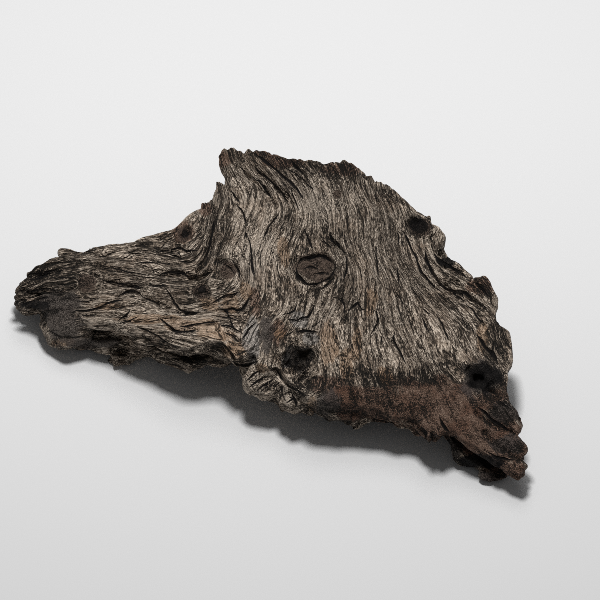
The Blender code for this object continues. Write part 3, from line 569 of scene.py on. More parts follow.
# Streaks along the grain: width, length and roughness of the noise, then the range of it that is used
STREAKS = {
    "thread": ((0.00052, 0.0019, 0.40), (0.40, 0.60)),
    "strand": ((0.0012, 0.012, 0.60), (0.34, 0.66)),
    "band": ((0.0110, 0.060, 0.50), None),
    "gape": ((0.009, 0.028, 0.50), (0.50, 0.58)),
}
# Lines where such a noise crosses its middle: the noise, then how far from the middle the line ends
SPLITS = [((0.0100, 0.080, 0.50), 0.020), ((0.0050, 0.040, 0.50), 0.022)]
FURROWS = [((0.0064, 0.050, 0.35), 0.050), ((0.0034, 0.026, 0.35), 0.045)]
# Specks alike in every direction: size, then the range of the noise that is used
SPECKS = {
    "cloud": (0.030, None),
    "mottle": (0.0080, None),
    "clump": (0.0028, None),
    "warmth": (0.0150, (0.44, 0.66)),
    "crumb": (0.00065, (0.36, 0.64)),
}
# Octaves of the two noises and roughness of the specks, and the range over which a zone sets in
FIBRE_DETAIL = 4.0
SPECK_DETAIL = 3.0
SPECK_ROUGHNESS = 0.65
ZONE_MASK_RANGE = (0.25, 0.75)
# Share of the fibres that is lost where the wood has crumbled, and shares of threads and strands
CRUMBLED = 0.75
FIBRE_MIX = (0.78, 0.22)
# Inner and outer edge of a crack's dark line, in its half widths
CRACK_SIDES = (0.8, 1.8)

# Tone of the wood, from 0 in a groove to 1 on the palest fibre: where it starts, then how far each
# pattern swings it, and how far each zone lifts it
TONE = 0.44
TONE_SWINGS = {
    # crest and swell pale the crests as wear and darken the hollows as painted shade
    "texture": 0.56, "ridge": 0.36, "crumb": 0.32, "crest": 0.26, "swell": 0.20, "band": 0.25,
    "cloud": 0.34, "mottle": 0.40, "clump": 0.0,
}
# What a zone adds to the swing of a pattern
ZONE_SWINGS = {
    "texture": ("sunlit", 0.24), "crumb": ("russet", -0.10), "mottle": ("russet", 0.50),
    "clump": ("grained", 1.30),
}
# underside darkens the wood that faces down as painted shade
ZONE_TONES = {"bleached": 0.16, "sunlit": 0.14, "shaded": -0.26, "russet": -0.05, "underside": -0.04}
# Share of the tone and of the relief that is left in an open split, and height of a ridge beside that
# of the fibres
SPLIT_TONE = 0.25
SPLIT_RELIEF = 0.20
RIDGE_RELIEF = 1.2
# Tone at which each colour of the wood stands
TONE_STEPS = {"groove": 0.10, "heart": 0.34, "weathered": 0.62, "bleached": 0.95}
# Casts of colour laid over the wood one after the other: mask, colour and strength, and the tones
# between which a cast grows from the groove's colour to its own
CASTS = [
    ("pale", "bleached", 0.35), ("warmth", "umber", 0.30), ("rusty", "russet", 0.65),
    ("reddened", "russet", 0.92), ("amber", "amber", 0.50), ("slate", "slate", 0.6),
    ("plug", "plug", 0.9), ("sooty", "sooty", 0.8),
]
CAST_TONES = (0.10, 0.80)
# Share of the heartwood's red outside the warm patches and what they add, and strength of the black rot
# and painted shade
REDNESS = (0.80, 0.18)
ROT_AND_SHADE_STRENGTH = 0.90
# Two tones and the roughness at each, then the shine, and the height of the bumps
WOOD_ROUGHNESS = (0.1, 0.9, 0.95, 0.72)
WOOD_SHINE = 0.25
WOOD_BUMP = 0.0010

# Floor: half its side, how far it lies under the feet, where along Y it starts and ends to grow pale, as
# painted light falling off towards the front, and its surface
FLOOR_HALF_SIDE = 6.0
FLOOR_DROP = 0.0002
FLOOR_LIGHT_FALLOFF = (-0.30, 0.30)
FLOOR_ROUGHNESS = 0.7
FLOOR_SHINE = 0.2

# Soft light overhead and wide light behind: width and place
KEY_LIGHT = (0.26, (0.00, 0.12, 1.30))
BACK_LIGHT = (1.20, (0.10, 0.90, 2.00))

# Camera: shift of the view in picture points, distance and farthest depth, and width of the pixel filter
VIEW_SHIFT = (0.5, 4.5)
CAMERA_DISTANCE = 1.5
CAMERA_DEPTH = 20.0
FILTER_WIDTH = 0.8


class MopaniRootForm(PropertyGroup):
    """How finely the root is modelled."""

    blank_voxel: FloatProperty(
        name="Blank fineness", description="Edge of the voxels that fuse the layers",
        default=0.0010, min=0.0008, max=0.004, unit="LENGTH")
    surface_voxel: FloatProperty(
        name="Surface fineness", description="Edge of the voxels of the carved surface",
        default=0.00062, min=0.0005, max=0.004, unit="LENGTH")
    triangles: IntProperty(
        name="Triangles", description="Most triangles in the finished root",
        default=196000, min=20000, max=199000)
    ridge_depth: FloatProperty(
        name="Ridge depth", description="Multiplies the height of the grain ridges",
        default=1.0, min=0.0, max=2.0, subtype="FACTOR")


def colour(name, description, default):
    """A colour that can be set in the panel."""
    return FloatVectorProperty(name=name, description=description, subtype="COLOR", size=4,
                               default=(*default, 1.0), min=0.0, max=1.0)


class MopaniRootColours(PropertyGroup):
    """Colours of the weathered wood."""

    groove: colour("Groove", "Wood deep in a groove", (0.010, 0.008, 0.006))
    heart: colour("Heart", "Wood on the side of a ridge", (0.079, 0.060, 0.045))
    weathered: colour("Weathered", "Wood on top of a ridge", (0.258, 0.205, 0.157))
    bleached: colour("Bleached", "Palest fibres on top of a ridge", (0.59, 0.495, 0.400))
    russet: colour("Russet", "Dark red-brown heartwood", (0.180, 0.089, 0.056))
    amber: colour("Amber", "Orange-brown stain", (0.345, 0.200, 0.105))
    umber: colour("Umber", "Warm brown cast in broad patches", (0.250, 0.160, 0.100))
    # Smooth dark wood, and painted shade on the right lip under the fingers
    sooty: colour("Sooty", "Smooth dark wood", (0.085, 0.072, 0.067))
    slate: colour("Slate", "Smooth grey wood", (0.320, 0.305, 0.290))
    plug: colour("Plug", "Crumbled wood in the knots", (0.130, 0.088, 0.066))
    # Black of the rot, of the painted shade in the slots and of the cracks' dark lines
    charred: colour("Charred", "Black rot in the pits", (0.004, 0.003, 0.003))


class MopaniRootStage(PropertyGroup):
    """Floor, light and view."""

    # The floor is painted darker in front than behind, for the light falling off towards the front
    near_floor: colour("Near floor", "The pale floor in front", (0.645, 0.645, 0.645))
    far_floor: colour("Far floor", "The pale floor behind", (0.785, 0.785, 0.785))
    view_angle: FloatProperty(
        name="View angle", description="How far the camera looks down",
        default=VIEW_ANGLE, min=0.0, max=math.pi / 2.0, subtype="ANGLE")
    key_power: FloatProperty(
        name="Key light", description="Power of the soft light overhead",
        default=13.5, min=0.0, max=500.0, unit="POWER")
    back_power: FloatProperty(
        name="Back light", description="Power of the wide light behind the root",
        default=9.0, min=0.0, max=500.0, unit="POWER")
    fill_strength: FloatProperty(
        name="Fill", description="Strength of the even light all round",
        default=0.13, min=0.0, max=5.0)


def ramp(value, start, end):
    """Rises smoothly from 0 at start to 1 at end."""
    share = np.clip((np.asarray(value, dtype=float) - start) / (end - start), 0.0, 1.0)
    return share * share * (3.0 - 2.0 * share)


def droop(px, py):
    """How far the wood bends down below the plane of the face at a picture point."""
    column, length, depth, curve = SNOUT_DROOP
    drop = depth * np.clip((column - px) / length, 0.0, 1.0) ** curve
    axes = {"column": px, "row": py}
    for bend, ramps in BENDS.values():
        for axis, start, end in ramps:
            bend = bend * ramp(axes[axis], start, end)
        drop = drop + bend
    return drop


def picture_point(x, y, level):
    """Picture point of a place in the flat wood; level is its height over the face, below 0 inside."""
    upright = y * SIN_VIEW + (FACE_HEIGHT + FACE_RISE * y + level) * COS_VIEW
    return PICTURE_ORIGIN[0] + x / POINT, PICTURE_ORIGIN[1] - upright / POINT


def place_at_depth(px, py, depth):
    """Place in the flat wood that shows at a picture point and lies at this depth."""
    upright = (PICTURE_ORIGIN[1] - py) * POINT
    y = (upright - (FACE_HEIGHT - depth) * COS_VIEW) / (SIN_VIEW + FACE_RISE * COS_VIEW)
    return (px - PICTURE_ORIGIN[0]) * POINT, y, -depth


def place_at_height(px, py, height):
    """Place in the flat wood that ends at this height above the ground, under a picture point."""
    upright = (PICTURE_ORIGIN[1] - py) * POINT
    before_bend = height + float(droop(px, py))
    y = (upright - before_bend * COS_VIEW) / SIN_VIEW
    level = before_bend - FACE_HEIGHT - FACE_RISE * y
    return (px - PICTURE_ORIGIN[0]) * POINT, y, level


def bend_to_ground(points):
    """Carries points of the flat wood to their places on the tilted, drooping root."""
    px, py = picture_point(points[:, 0], points[:, 1], points[:, 2])
    drop = droop(px, py)
    bent = points.copy()
    bent[:, 1] = points[:, 1] + drop * COS_VIEW / SIN_VIEW
    bent[:, 2] = FACE_HEIGHT + FACE_RISE * points[:, 1] + points[:, 2] - drop
    return bent


def lay_flat(points):
    """Carries points of the finished root back to the flat wood, with their picture points."""
    px = PICTURE_ORIGIN[0] + points[:, 0] / POINT
    py = PICTURE_ORIGIN[1] - (points[:, 1] * SIN_VIEW + points[:, 2] * COS_VIEW) / POINT
    drop = droop(px, py)
    flat = points.copy()
    flat[:, 1] = points[:, 1] - drop * COS_VIEW / SIN_VIEW
    flat[:, 2] = points[:, 2] + drop - FACE_HEIGHT - FACE_RISE * flat[:, 1]
    return flat, px, py


def add_layer(name, top, underside, shown, outline):
    """One layer of the wood: its outline filled and drawn up to its thickness."""
    shape = bmesh.new()
    rim = [shape.verts.new((*place_at_depth(px, py, shown)[:2], -underside)) for px, py in outline]
    floor = bmesh.ops.contextual_create(shape, geom=rim)["faces"]
    raised = bmesh.ops.extrude_face_region(shape, geom=floor)["geom"]
    top_verts = [item for item in raised if isinstance(item, bmesh.types.BMVert)]
    bmesh.ops.translate(shape, verts=top_verts, vec=(0.0, 0.0, underside - top))
    bmesh.ops.triangulate(shape, faces=shape.faces[:])
    bmesh.ops.recalc_face_normals(shape, faces=shape.faces[:])
    return finished(shape, name)


def add_lump(name, centre, radii):
    """One rounded lump as a stretched sphere."""
    ball = bmesh.new()
    around, upright = LUMP_SIDES
    stretch = Matrix.Translation(centre) @ Matrix.Diagonal((*radii, 1.0))
    bmesh.ops.create_uvsphere(ball, u_segments=around, v_segments=upright, radius=1.0, matrix=stretch)
    return finished(ball, name)


def add_splinter(foot, tip, depth, radius):
    """One torn splinter as a slim cone from its foot in the wood to its tip."""
    start = Vector(place_at_depth(*foot, depth + radius))
    end = Vector(place_at_depth(*tip, depth))
    aim = (end - start).to_track_quat("Z", "Y").to_matrix().to_4x4()
    cone = bmesh.new()
    bmesh.ops.create_cone(
        cone, cap_ends=True, segments=SPLINTER_SIDES, radius1=radius, radius2=radius * SPLINTER_TIP,
        depth=(end - start).length, matrix=Matrix.Translation((start + end) / 2.0) @ aim)
    return finished(cone, "splinter")


def finished(shape, name):
    """The shape as a mesh of its own."""
    mesh = bpy.data.meshes.new(name)
    shape.to_mesh(mesh)
    shape.free()
    return mesh


def joined(meshes, name):
    """All the meshes in one, still as separate shells."""
    everything = bmesh.new()
    for mesh in meshes:
        everything.from_mesh(mesh)
        bpy.data.meshes.remove(mesh)
    return finished(everything, name)


def add_object(name, data):
    """An object in the scene for a mesh, a light or a camera."""
    piece = bpy.data.objects.new(name, data)
    bpy.context.scene.collection.objects.link(piece)
    return piece


def through_modifier(mesh, kind, **settings):
    """The mesh after one modifier."""
    holder = add_object("holder", mesh)
    modifier = holder.modifiers.new("shaping", kind)
    for key, value in settings.items():
        setattr(modifier, key, value)
    bpy.context.view_layer.update()
    shaped = bpy.data.meshes.new_from_object(holder.evaluated_get(bpy.context.evaluated_depsgraph_get()))
    bpy.data.objects.remove(holder)
    return shaped


def skin_of(mesh, voxel):
    """One closed skin round everything in the mesh."""
    return through_modifier(mesh, "REMESH", mode="VOXEL", voxel_size=voxel)


def thinned(mesh, triangles):
    """The same shape with no more than this many triangles."""
    mesh.calc_loop_triangles()
    share = min(1.0, triangles / len(mesh.loop_triangles))
    return through_modifier(
        mesh, "DECIMATE", decimate_type="COLLAPSE", use_collapse_triangulate=True, ratio=share)


def read_rows(items, key, width, kind=float):
    """One row of numbers for each vertex or edge."""
    values = np.empty(len(items) * width, dtype=kind)
    items.foreach_get(key, values)
    return values.reshape(-1, width)


def read_points(mesh):
    return read_rows(mesh.vertices, "co", 3)


def read_normals(mesh):
    return read_rows(mesh.vertices, "normal", 3)


def read_edges(mesh):
    return read_rows(mesh.edges, "vertices", 2, np.int32)


def write_points(mesh, points):
    mesh.vertices.foreach_set("co", points.ravel())
    mesh.update()


def carve(mesh, tool, *settings):
    """Moves the points of the mesh by a function of the points, their normals and some settings."""
    write_points(mesh, tool(read_points(mesh), read_normals(mesh), *settings))


def averaged(values, edges, rounds):
    """Values carried towards the mean of their neighbours, several times over."""
    count = len(values)
    starts = np.concatenate([edges[:, 0], edges[:, 1]])
    ends = np.concatenate([edges[:, 1], edges[:, 0]])
    neighbours = np.maximum(np.bincount(starts, minlength=count), 1)
    for _ in range(rounds):
        columns = [np.bincount(starts, weights=column[ends], minlength=count) for column in values.T]
        values = 0.5 * values + 0.5 * np.column_stack(columns) / neighbours[:, None]
    return values


def smooth(mesh, rounds):
    """Rounds off the steps of the skin."""
    write_points(mesh, averaged(read_points(mesh), read_edges(mesh), rounds))


def keep_main_shell(mesh):
    """Keeps the one shell that holds the root and drops any loose scrap."""
    edges = read_edges(mesh)
    label = np.arange(len(mesh.vertices))
    before = None
    while not np.array_equal(before, label):
        before = label.copy()
        lowest = np.minimum(label[edges[:, 0]], label[edges[:, 1]])
        np.minimum.at(label, edges[:, 0], lowest)
        np.minimum.at(label, edges[:, 1], lowest)
        label = label[label]
    main_shell = np.bincount(label).argmax()
    if (label == main_shell).all():
        return
    shape = bmesh.new()
    shape.from_mesh(mesh)
    scraps = [vertex for vertex in shape.verts if label[vertex.index] != main_shell]
    bmesh.ops.delete(shape, geom=scraps, context="VERTS")
    shape.to_mesh(mesh)
    shape.free()


def beside_line(x, y, corners):
    """Distance to a line, side of it (1 left, -1 right) and how far the nearest point is from an end."""
    lengths = [math.hypot(bx - ax, by - ay) for (ax, ay), (bx, by) in zip(corners, corners[1:])]
    nearest = np.full(len(x), np.inf)
    side = np.ones(len(x))
    from_end = np.zeros(len(x))
    passed = 0.0
    for (ax, ay), (bx, by), length in zip(corners, corners[1:], lengths):
        run = np.array((bx - ax, by - ay))
        share = np.clip(((x - ax) * run[0] + (y - ay) * run[1]) / (run @ run), 0.0, 1.0)
        gap = np.hypot(x - ax - share * run[0], y - ay - share * run[1])
        nearer = gap < nearest
        nearest[nearer] = gap[nearer]
        side[nearer] = np.sign(run[0] * (y - ay) - run[1] * (x - ax))[nearer]
        foot = passed + share * length
        from_end[nearer] = np.minimum(foot, sum(lengths) - foot)[nearer]
        passed += length
    return nearest, side, from_end


def distance_to_line(x, y, line):
    """Distance from each place to a line of picture points on the face."""
    return beside_line(x, y, [place_at_depth(px, py, 0.0)[:2] for px, py in line])[0]


def thin_plate(distance_squared):
    return 0.5 * distance_squared * np.log(distance_squared + 1e-12)


class GrainMap:
    """Smooth map from a place on the wood to its place along and across the grain."""

    slack = 0.002
    scale = LENGTH / 2.0
    batch = 20000

    def __init__(self, lines):
        places = []
        values = []
        across = 0.0
        beside = None
        for line in lines:
            corners = np.array([place_at_depth(px, py, 0.0)[:2] for px, py in line])
            if beside is not None:
                across += distance_to_line(corners[:, 0], corners[:, 1], beside).mean()
            steps = np.hypot(*np.diff(corners, axis=0).T)
            places.extend(corners)
            values.extend((along, across) for along in np.concatenate([[0.0], np.cumsum(steps)]))
            beside = line
        self.knots = np.array(places) / self.scale
        count = len(places)
        flat = np.hstack([np.ones((count, 1)), self.knots])
        gaps = self.knots[:, None, :] - self.knots[None, :, :]
        system = np.zeros((count + 3, count + 3))
        system[:count, :count] = thin_plate((gaps ** 2).sum(axis=2)) + np.eye(count) * self.slack
        system[:count, count:] = flat
        system[count:, :count] = flat.T
        wanted = np.zeros((count + 3, 2))
        wanted[:count] = values
        self.weights = np.linalg.solve(system, wanted)

    def read(self, x, y):
        places = np.column_stack([x, y]) / self.scale
        answers = []
        for part in np.array_split(places, max(1, len(places) // self.batch)):
            gaps = part[:, None, :] - self.knots[None, :, :]
            bent = thin_plate((gaps ** 2).sum(axis=2)) @ self.weights[:len(self.knots)]
            flat = np.hstack([np.ones((len(part), 1)), part]) @ self.weights[len(self.knots):]
            answers.append(bent + flat)
        both = np.vstack(answers)
        return both[:, 0], both[:, 1]


def rolling(a, b, c):
    """Rolling noise between about -1 and 1 at each row of three numbers."""
    read = noise.noise
    return np.array([read(Vector(place)) for place in zip(a, b, c)])


def waves(x, y, z, size, seed):
    """Even, rolling noise of one size."""
    return rolling(x / size, y / size, z / size + seed)


def ridges(along, across, level, shape, layer_height):
    """Height over the skin of rounded ridges with sharp grooves between them."""
    length, width, height, shift, middle = shape
    wave = rolling((along + shift) / length, across / width, level / layer_height)
    return height * (np.abs(wave) ** RIDGE_ROUNDNESS - middle)


def swayed(along, across, sway):
    """Distance across the grain, with the fibres swaying from side to side."""
    length, width, height, seed = sway
    return across + height * rolling(along / length, across / width, np.full(len(along), seed))


def spot_reach(px, py, centre, radii):
    """How far each picture point lies from the centre of a spot, in its radii."""
    return np.hypot((px - centre[0]) / radii[0], (py - centre[1]) / radii[1])


def grain_strength(px, py):
    """How strongly the ridges stand out at each picture point."""
    strength = np.full(len(px), GRAIN_STRENGTH)
    for centre, radii, wanted in GRAIN_SPOTS:
        strength += (wanted - strength) * (1.0 - ramp(spot_reach(px, py, centre, radii), *SPOT_EDGE))
    return strength


def carve_knots_and_cracks(points, normals):
    """Sinks the pits and the open cracks into the face, and raises a collar round each pit."""
    x, y, z = points.T
    on_face = np.clip(normals[:, 2] * FACING_GAIN, 0.0, 1.0) * (z > -FACE_DEPTH)
    lift = np.zeros(len(x))
    unevenness = KNOT_UNEVENNESS[0] * waves(x, y, z, *KNOT_UNEVENNESS[1:])
    crumbs = KNOT_CRUMBS[0] * waves(x, y, z, *KNOT_CRUMBS[1:])
    collar_reach, collar_width = KNOT_COLLAR
    crack_reach, crack_width, crack_depth = KNOT_CRACK
    for (px, py), (radius_x, radius_y), depth, collar in KNOTS:
        centre = place_at_depth(px, py, 0.0)
        reach = spot_reach(x, y, centre, (radius_x * POINT, radius_y * POINT / SIN_VIEW))
        reach *= 1.0 + unevenness
        lift += (crumbs - depth) * np.exp(-(reach / KNOT_PIT) ** 4)
        lift += collar * np.exp(-((reach - collar_reach) / collar_width) ** 2)
        lift -= crack_depth * np.exp(-((reach - crack_reach) / crack_width) ** 2)
    for width, depth, line in CRACKS:
        lift -= depth * np.exp(-(distance_to_line(x, y, line) / width) ** 2)
    carved = points.copy()
    carved[:, 2] += lift * on_face
    return carved


def carve_coarse_grain(points, normals, grain, ridge_depth):
    """Moves the skin in and out by the coarse ridges, the broken edges and the slow swells."""
    x, y, z = points.T
    along, across = grain.read(x, y)
    fibre = swayed(along, across, RIDGE_WAVES)
    coarse = ridges(along, fibre, z, COARSE_RIDGES, LAYER_HEIGHT)
    narrow = ridges(along, fibre, z, NARROW_RIDGES, LAYER_HEIGHT)
    height = ridge_depth * (coarse + narrow)
    on_wall = 1.0 - np.abs(normals[:, 2])
    height *= grain_strength(*picture_point(x, y, z)) * (1.0 - EDGE_CALM * on_wall)
    height += EDGE_BREAKS[0] * on_wall * waves(x, y, z * EDGE_SHORTNESS, *EDGE_BREAKS[1:])
    hidden = ramp(-z, *HIDDEN_DEPTHS) * (1.0 - UPPER_CALM * np.clip(normals[:, 2], 0.0, 1.0))
    height += UNDER_SWELL[0] * hidden * waves(x, y, z, *UNDER_SWELL[1:])
    moved = points + normals * height[:, None]
    moved[:, 2] += SLOW_SWELL[0] * waves(x, y, z, *SLOW_SWELL[1:])
    return moved


def find_cracks(points, normals):
    """Distance to the nearest fine crack in its half widths, its depth there, and whether one is near."""
    flat, px, py = lay_flat(points)
    sway, sway_size, seed_across, seed_down = CRACK_WANDER
    px = px + sway * waves(*flat.T, sway_size, seed_across)
    py = py + sway * waves(*flat.T, sway_size, seed_down)
    widths = 1.0 + CRACK_UNEVENNESS[0] * waves(*flat.T, *CRACK_UNEVENNESS[1:])
    beside = np.full(len(points), CRACK_REACH)
    deep = np.zeros(len(points))
    for half_width, depth, lines in CRACK_KINDS:
        for line in lines:
            box_low = np.min(line, axis=0) - CRACK_REACH
            box_high = np.max(line, axis=0) + CRACK_REACH
            near = (px > box_low[0]) & (px < box_high[0]) & (py > box_low[1]) & (py < box_high[1])
            gap, side, from_end = beside_line(px[near], py[near], line)
            taper = CRACK_END + (1.0 - CRACK_END) * ramp(from_end, 0.0, CRACK_TAPER)
            side = np.clip(gap * side / (half_width * widths[near] * taper), -CRACK_REACH, CRACK_REACH)
            beside[near] = np.where(np.abs(side) < np.abs(beside[near]), side, beside[near])
            deep[near] = np.maximum(deep[near], depth * taper * np.exp(-(side * CRACK_SLOPE) ** 2))
    facing = ramp(normals[:, 2], *CRACK_FACING) * ramp(flat[:, 2], *CRACK_LEVELS)
    fade_start, fade_end = (share * CRACK_REACH for share in CRACK_FADE)
    near_one = facing * (1.0 - ramp(np.abs(beside), fade_start, fade_end))
    return beside, deep * facing, near_one


def fine_place(flat, grain):
    """Place along the grain and across its swaying fibres."""
    along, across = grain.read(flat[:, 0], flat[:, 1])
    return along, swayed(along, swayed(along, across, RIDGE_WAVES), FINE_WAVES)


def carve_fine_grain(points, normals, grain, ridge_depth):
    """Adds the fine ridges and cracks to the finished skin."""
    flat, px, py = lay_flat(points)
    along, fibre = fine_place(flat, grain)
    level = flat[:, 2]
    height = ridges(along, fibre, level, FINE_RIDGES, FINE_LAYER_HEIGHT)
    patch_length, patch_width, patch_start, patch_end = GROOVE_PATCHES
    for length, spacing, depth, width, seed, patch_seed in GROOVES:
        line = rolling(along / length + seed, fibre / spacing, level / spacing)
        line = line * spacing / (GROOVE_STEEPNESS * width)
        patch = rolling(along / patch_length, fibre / patch_width, level / patch_width + patch_seed)
        height -= depth * np.exp(-line ** 2) * ramp(patch, patch_start, patch_end)
    on_wall = 1.0 - np.abs(normals[:, 2])
    height *= ridge_depth * (1.0 - FINE_EDGE_CALM * on_wall) * grain_strength(px, py)
    _, deep, _ = find_cracks(points, normals)
    carved = points + normals * height[:, None]
    carved[:, 2] -= deep
    return carved


def lift_off_ground(points):
    """Keeps everything but the three feet clear of the ground."""
    near_foot = np.zeros(len(points))
    for (px, py), radii in FEET.values():
        foot = bend_to_ground(np.array([place_at_height(px, py, 0.0)]))[0]
        reach = spot_reach(points[:, 0], points[:, 1], foot, radii)
        near_foot = np.maximum(near_foot, 1.0 - ramp(reach, *FOOT_EDGE))
    lifted = points.copy()
    lifted[:, 2] = np.maximum(points[:, 2], GROUND_GAP * (1.0 - near_foot))
    return lifted


def fit_to_solid(mesh):
    """Brings the finished root to the exact box of the solid that it stands for."""
    points = read_points(mesh)
    low = points.min(axis=0)
    high = points.max(axis=0)
    wanted_low, wanted_high = (np.array(corner) for corner in SOLID_BOX)
    write_points(mesh, wanted_low + (points - low) * (wanted_high - wanted_low) / (high - low))


def zone_mask(px, py, wander, spots):
    """How far each point lies in any of the spots, from 0 outside to 1 inside."""
    mask = np.zeros(len(px))
    for centre, radii in spots:
        mask = np.maximum(mask, 1.0 - ramp(spot_reach(px, py, centre, radii) + wander, *ZONE_EDGE))
    return mask


def write_value(mesh, name, values):
    """Keeps one number for each point of the mesh, for the material to read."""
    layer = mesh.attributes.new(name, "FLOAT", "POINT")
    layer.data.foreach_set("value", np.asarray(values, dtype=np.float32))


def mark_surface(mesh, grain):
    """Writes what the material reads: the place in the grain, crests and hollows for the worn crests and
    the painted shade in the hollows, and zones of colour.
    """
    points = read_points(mesh)
    normals = read_normals(mesh)
    edges = read_edges(mesh)
    flat, px, py = lay_flat(points)
    along, fibre = fine_place(flat, grain)
    grain_place = np.column_stack([fibre, along, flat[:, 2]]).astype(np.float32)
    layer = mesh.attributes.new("grain_place", "FLOAT_VECTOR", "POINT")
    layer.data.foreach_set("vector", grain_place.ravel())
    base = points
    for name, (rounds, span) in RELIEF.items():
        base = averaged(base, edges, rounds)
        height = ((points - base) * normals).sum(axis=1)
        write_value(mesh, name, np.clip(0.5 + height / span, 0.0, 1.0))
    beside, _, near_one = find_cracks(points, normals)
    write_value(mesh, "beside_crack", beside)
    write_value(mesh, "near_crack", near_one)
    # Painted shade on the deep wood that faces down
    facing_down = ramp(-normals[:, 2], *SHADED_UNDERSIDE_FACING)
    write_value(mesh, "underside", facing_down * ramp(-flat[:, 2], *SHADED_UNDERSIDE_DEPTHS))
    wander = ZONE_WANDER[0] * waves(*flat.T, *ZONE_WANDER[1:])
    for name, (_, spots) in ZONES.items():
        write_value(mesh, name, zone_mask(px, py, wander, spots))


class NodeBoard:
    """Short ways to add nodes to one node tree and to join them."""

    def __init__(self, tree):
        self.tree = tree

    def feed(self, socket, value):
        """Joins a socket to another one, or sets it to a plain value."""
        if isinstance(value, bpy.types.NodeSocket):
            self.tree.links.new(value, socket)
        else:
            socket.default_value = value

    def add(self, kind, inputs=None, **settings):
        node = self.tree.nodes.new(kind)
        for key, value in settings.items():
            setattr(node, key, value)
        for key, value in (inputs or {}).items():
            self.feed(node.inputs[key], value)
        return node

    def value(self, operation, first, second=0.0, third=0.0, clamp=False):
        """A number worked out from up to three others."""
        inputs = {0: first, 1: second, 2: third}
        return self.add("ShaderNodeMath", inputs, operation=operation, use_clamp=clamp).outputs[0]

    def between(self, value, low, high, to_low=0.0, to_high=1.0):
        """A number carried smoothly from one range to another."""
        inputs = {"Value": value, "From Min": low, "From Max": high, "To Min": to_low, "To Max": to_high}
        return self.add("ShaderNodeMapRange", inputs, interpolation_type="SMOOTHSTEP").outputs["Result"]

    def narrowed(self, value, span):
        """A number stretched over the part of its range that is used, if only a part is."""
        return self.between(value, *span) if span else value

    def swing(self, value, amount, onto):
        """A number that a noise moves evenly up and down."""
        return self.value("MULTIPLY_ADD", self.value("SUBTRACT", value, 0.5), amount, onto)

    def blended(self, share, first, second):
        """A number between two others."""
        return self.value("MULTIPLY_ADD", self.value("SUBTRACT", second, first), share, first)

    def mixed(self, share, first, second):
        """A colour between two others."""
        inputs = {0: share, 6: first, 7: second}
        return self.add("ShaderNodeMix", inputs, data_type="RGBA", clamp_factor=True).outputs[2]

    def noise(self, place, scale, detail, roughness):
        """Fractal noise at a place."""
        inputs = {"Vector": place, "Scale": scale, "Detail": detail, "Roughness": roughness}
        return self.add("ShaderNodeTexNoise", inputs).outputs["Fac"]

    def stored(self, name, output="Fac"):
        """A number or a vector that the mesh carries."""
        settings = {"attribute_name": name, "attribute_type": "GEOMETRY"}
        return self.add("ShaderNodeAttribute", **settings).outputs[output]

    def group(self, tree, inputs):
        """What a node group makes of these inputs."""
        return self.add("ShaderNodeGroup", inputs, node_tree=tree).outputs[0]


def new_group(name, inputs, output):
    """An empty node group: its board, its inputs inside, and the socket that its result goes to."""
    tree = bpy.data.node_groups.new(name, "ShaderNodeTree")
    for label, default in inputs.items():
        kind = "NodeSocketVector" if default is None else "NodeSocketFloat"
        socket = tree.interface.new_socket(name=label, in_out="INPUT", socket_type=kind)
        if default is not None:
            socket.default_value = default
    tree.interface.new_socket(name=output, in_out="OUTPUT", socket_type="NodeSocketFloat")
    board = NodeBoard(tree)
    return board, board.add("NodeGroupInput").outputs, board.add("NodeGroupOutput").inputs[output]


def fibre_group():
    """Streaks that run along the grain, narrow across it."""
    inputs = {"Place": None, "Width": 0.001, "Length": 0.015, "Roughness": 0.6}
    board, given, streak = new_group("Wood Fibre", inputs, "Streak")
    parts = board.add("ShaderNodeSeparateXYZ", {"Vector": given["Place"]}).outputs
    shrunk = {axis: board.value("DIVIDE", parts[axis], given[size])
              for axis, size in (("X", "Width"), ("Y", "Length"), ("Z", "Width"))}
    place = board.add("ShaderNodeCombineXYZ", shrunk).outputs["Vector"]
    board.feed(streak, board.noise(place, 1.0, FIBRE_DETAIL, given["Roughness"]))
    return board.tree


def zone_group():
    """A zone of colour with its edge broken up by the fibres."""
    board, given, mask = new_group("Zone Edge", {"Zone": 0.0, "Streak": 0.5, "Raggedness": 0.5}, "Mask")
    ragged = board.swing(given["Streak"], given["Raggedness"], given["Zone"])
    board.feed(mask, board.between(ragged, *ZONE_MASK_RANGE))
    return board.tree


def speck_group():
    """Crumbly specks, alike in every direction."""
    board, given, speck = new_group("Crumbled Wood", {"Place": None, "Size": 0.002}, "Speck")
    scale = board.value("DIVIDE", 1.0, given["Size"])
    board.feed(speck, board.noise(given["Place"], scale, SPECK_DETAIL, SPECK_ROUGHNESS))
    return board.tree


def new_material(name):
    """A material: itself, the board for its nodes, and the inputs of its shader."""
    material = bpy.data.materials.new(name)
    material.use_nodes = True
    return material, NodeBoard(material.node_tree), material.node_tree.nodes["Principled BSDF"].inputs


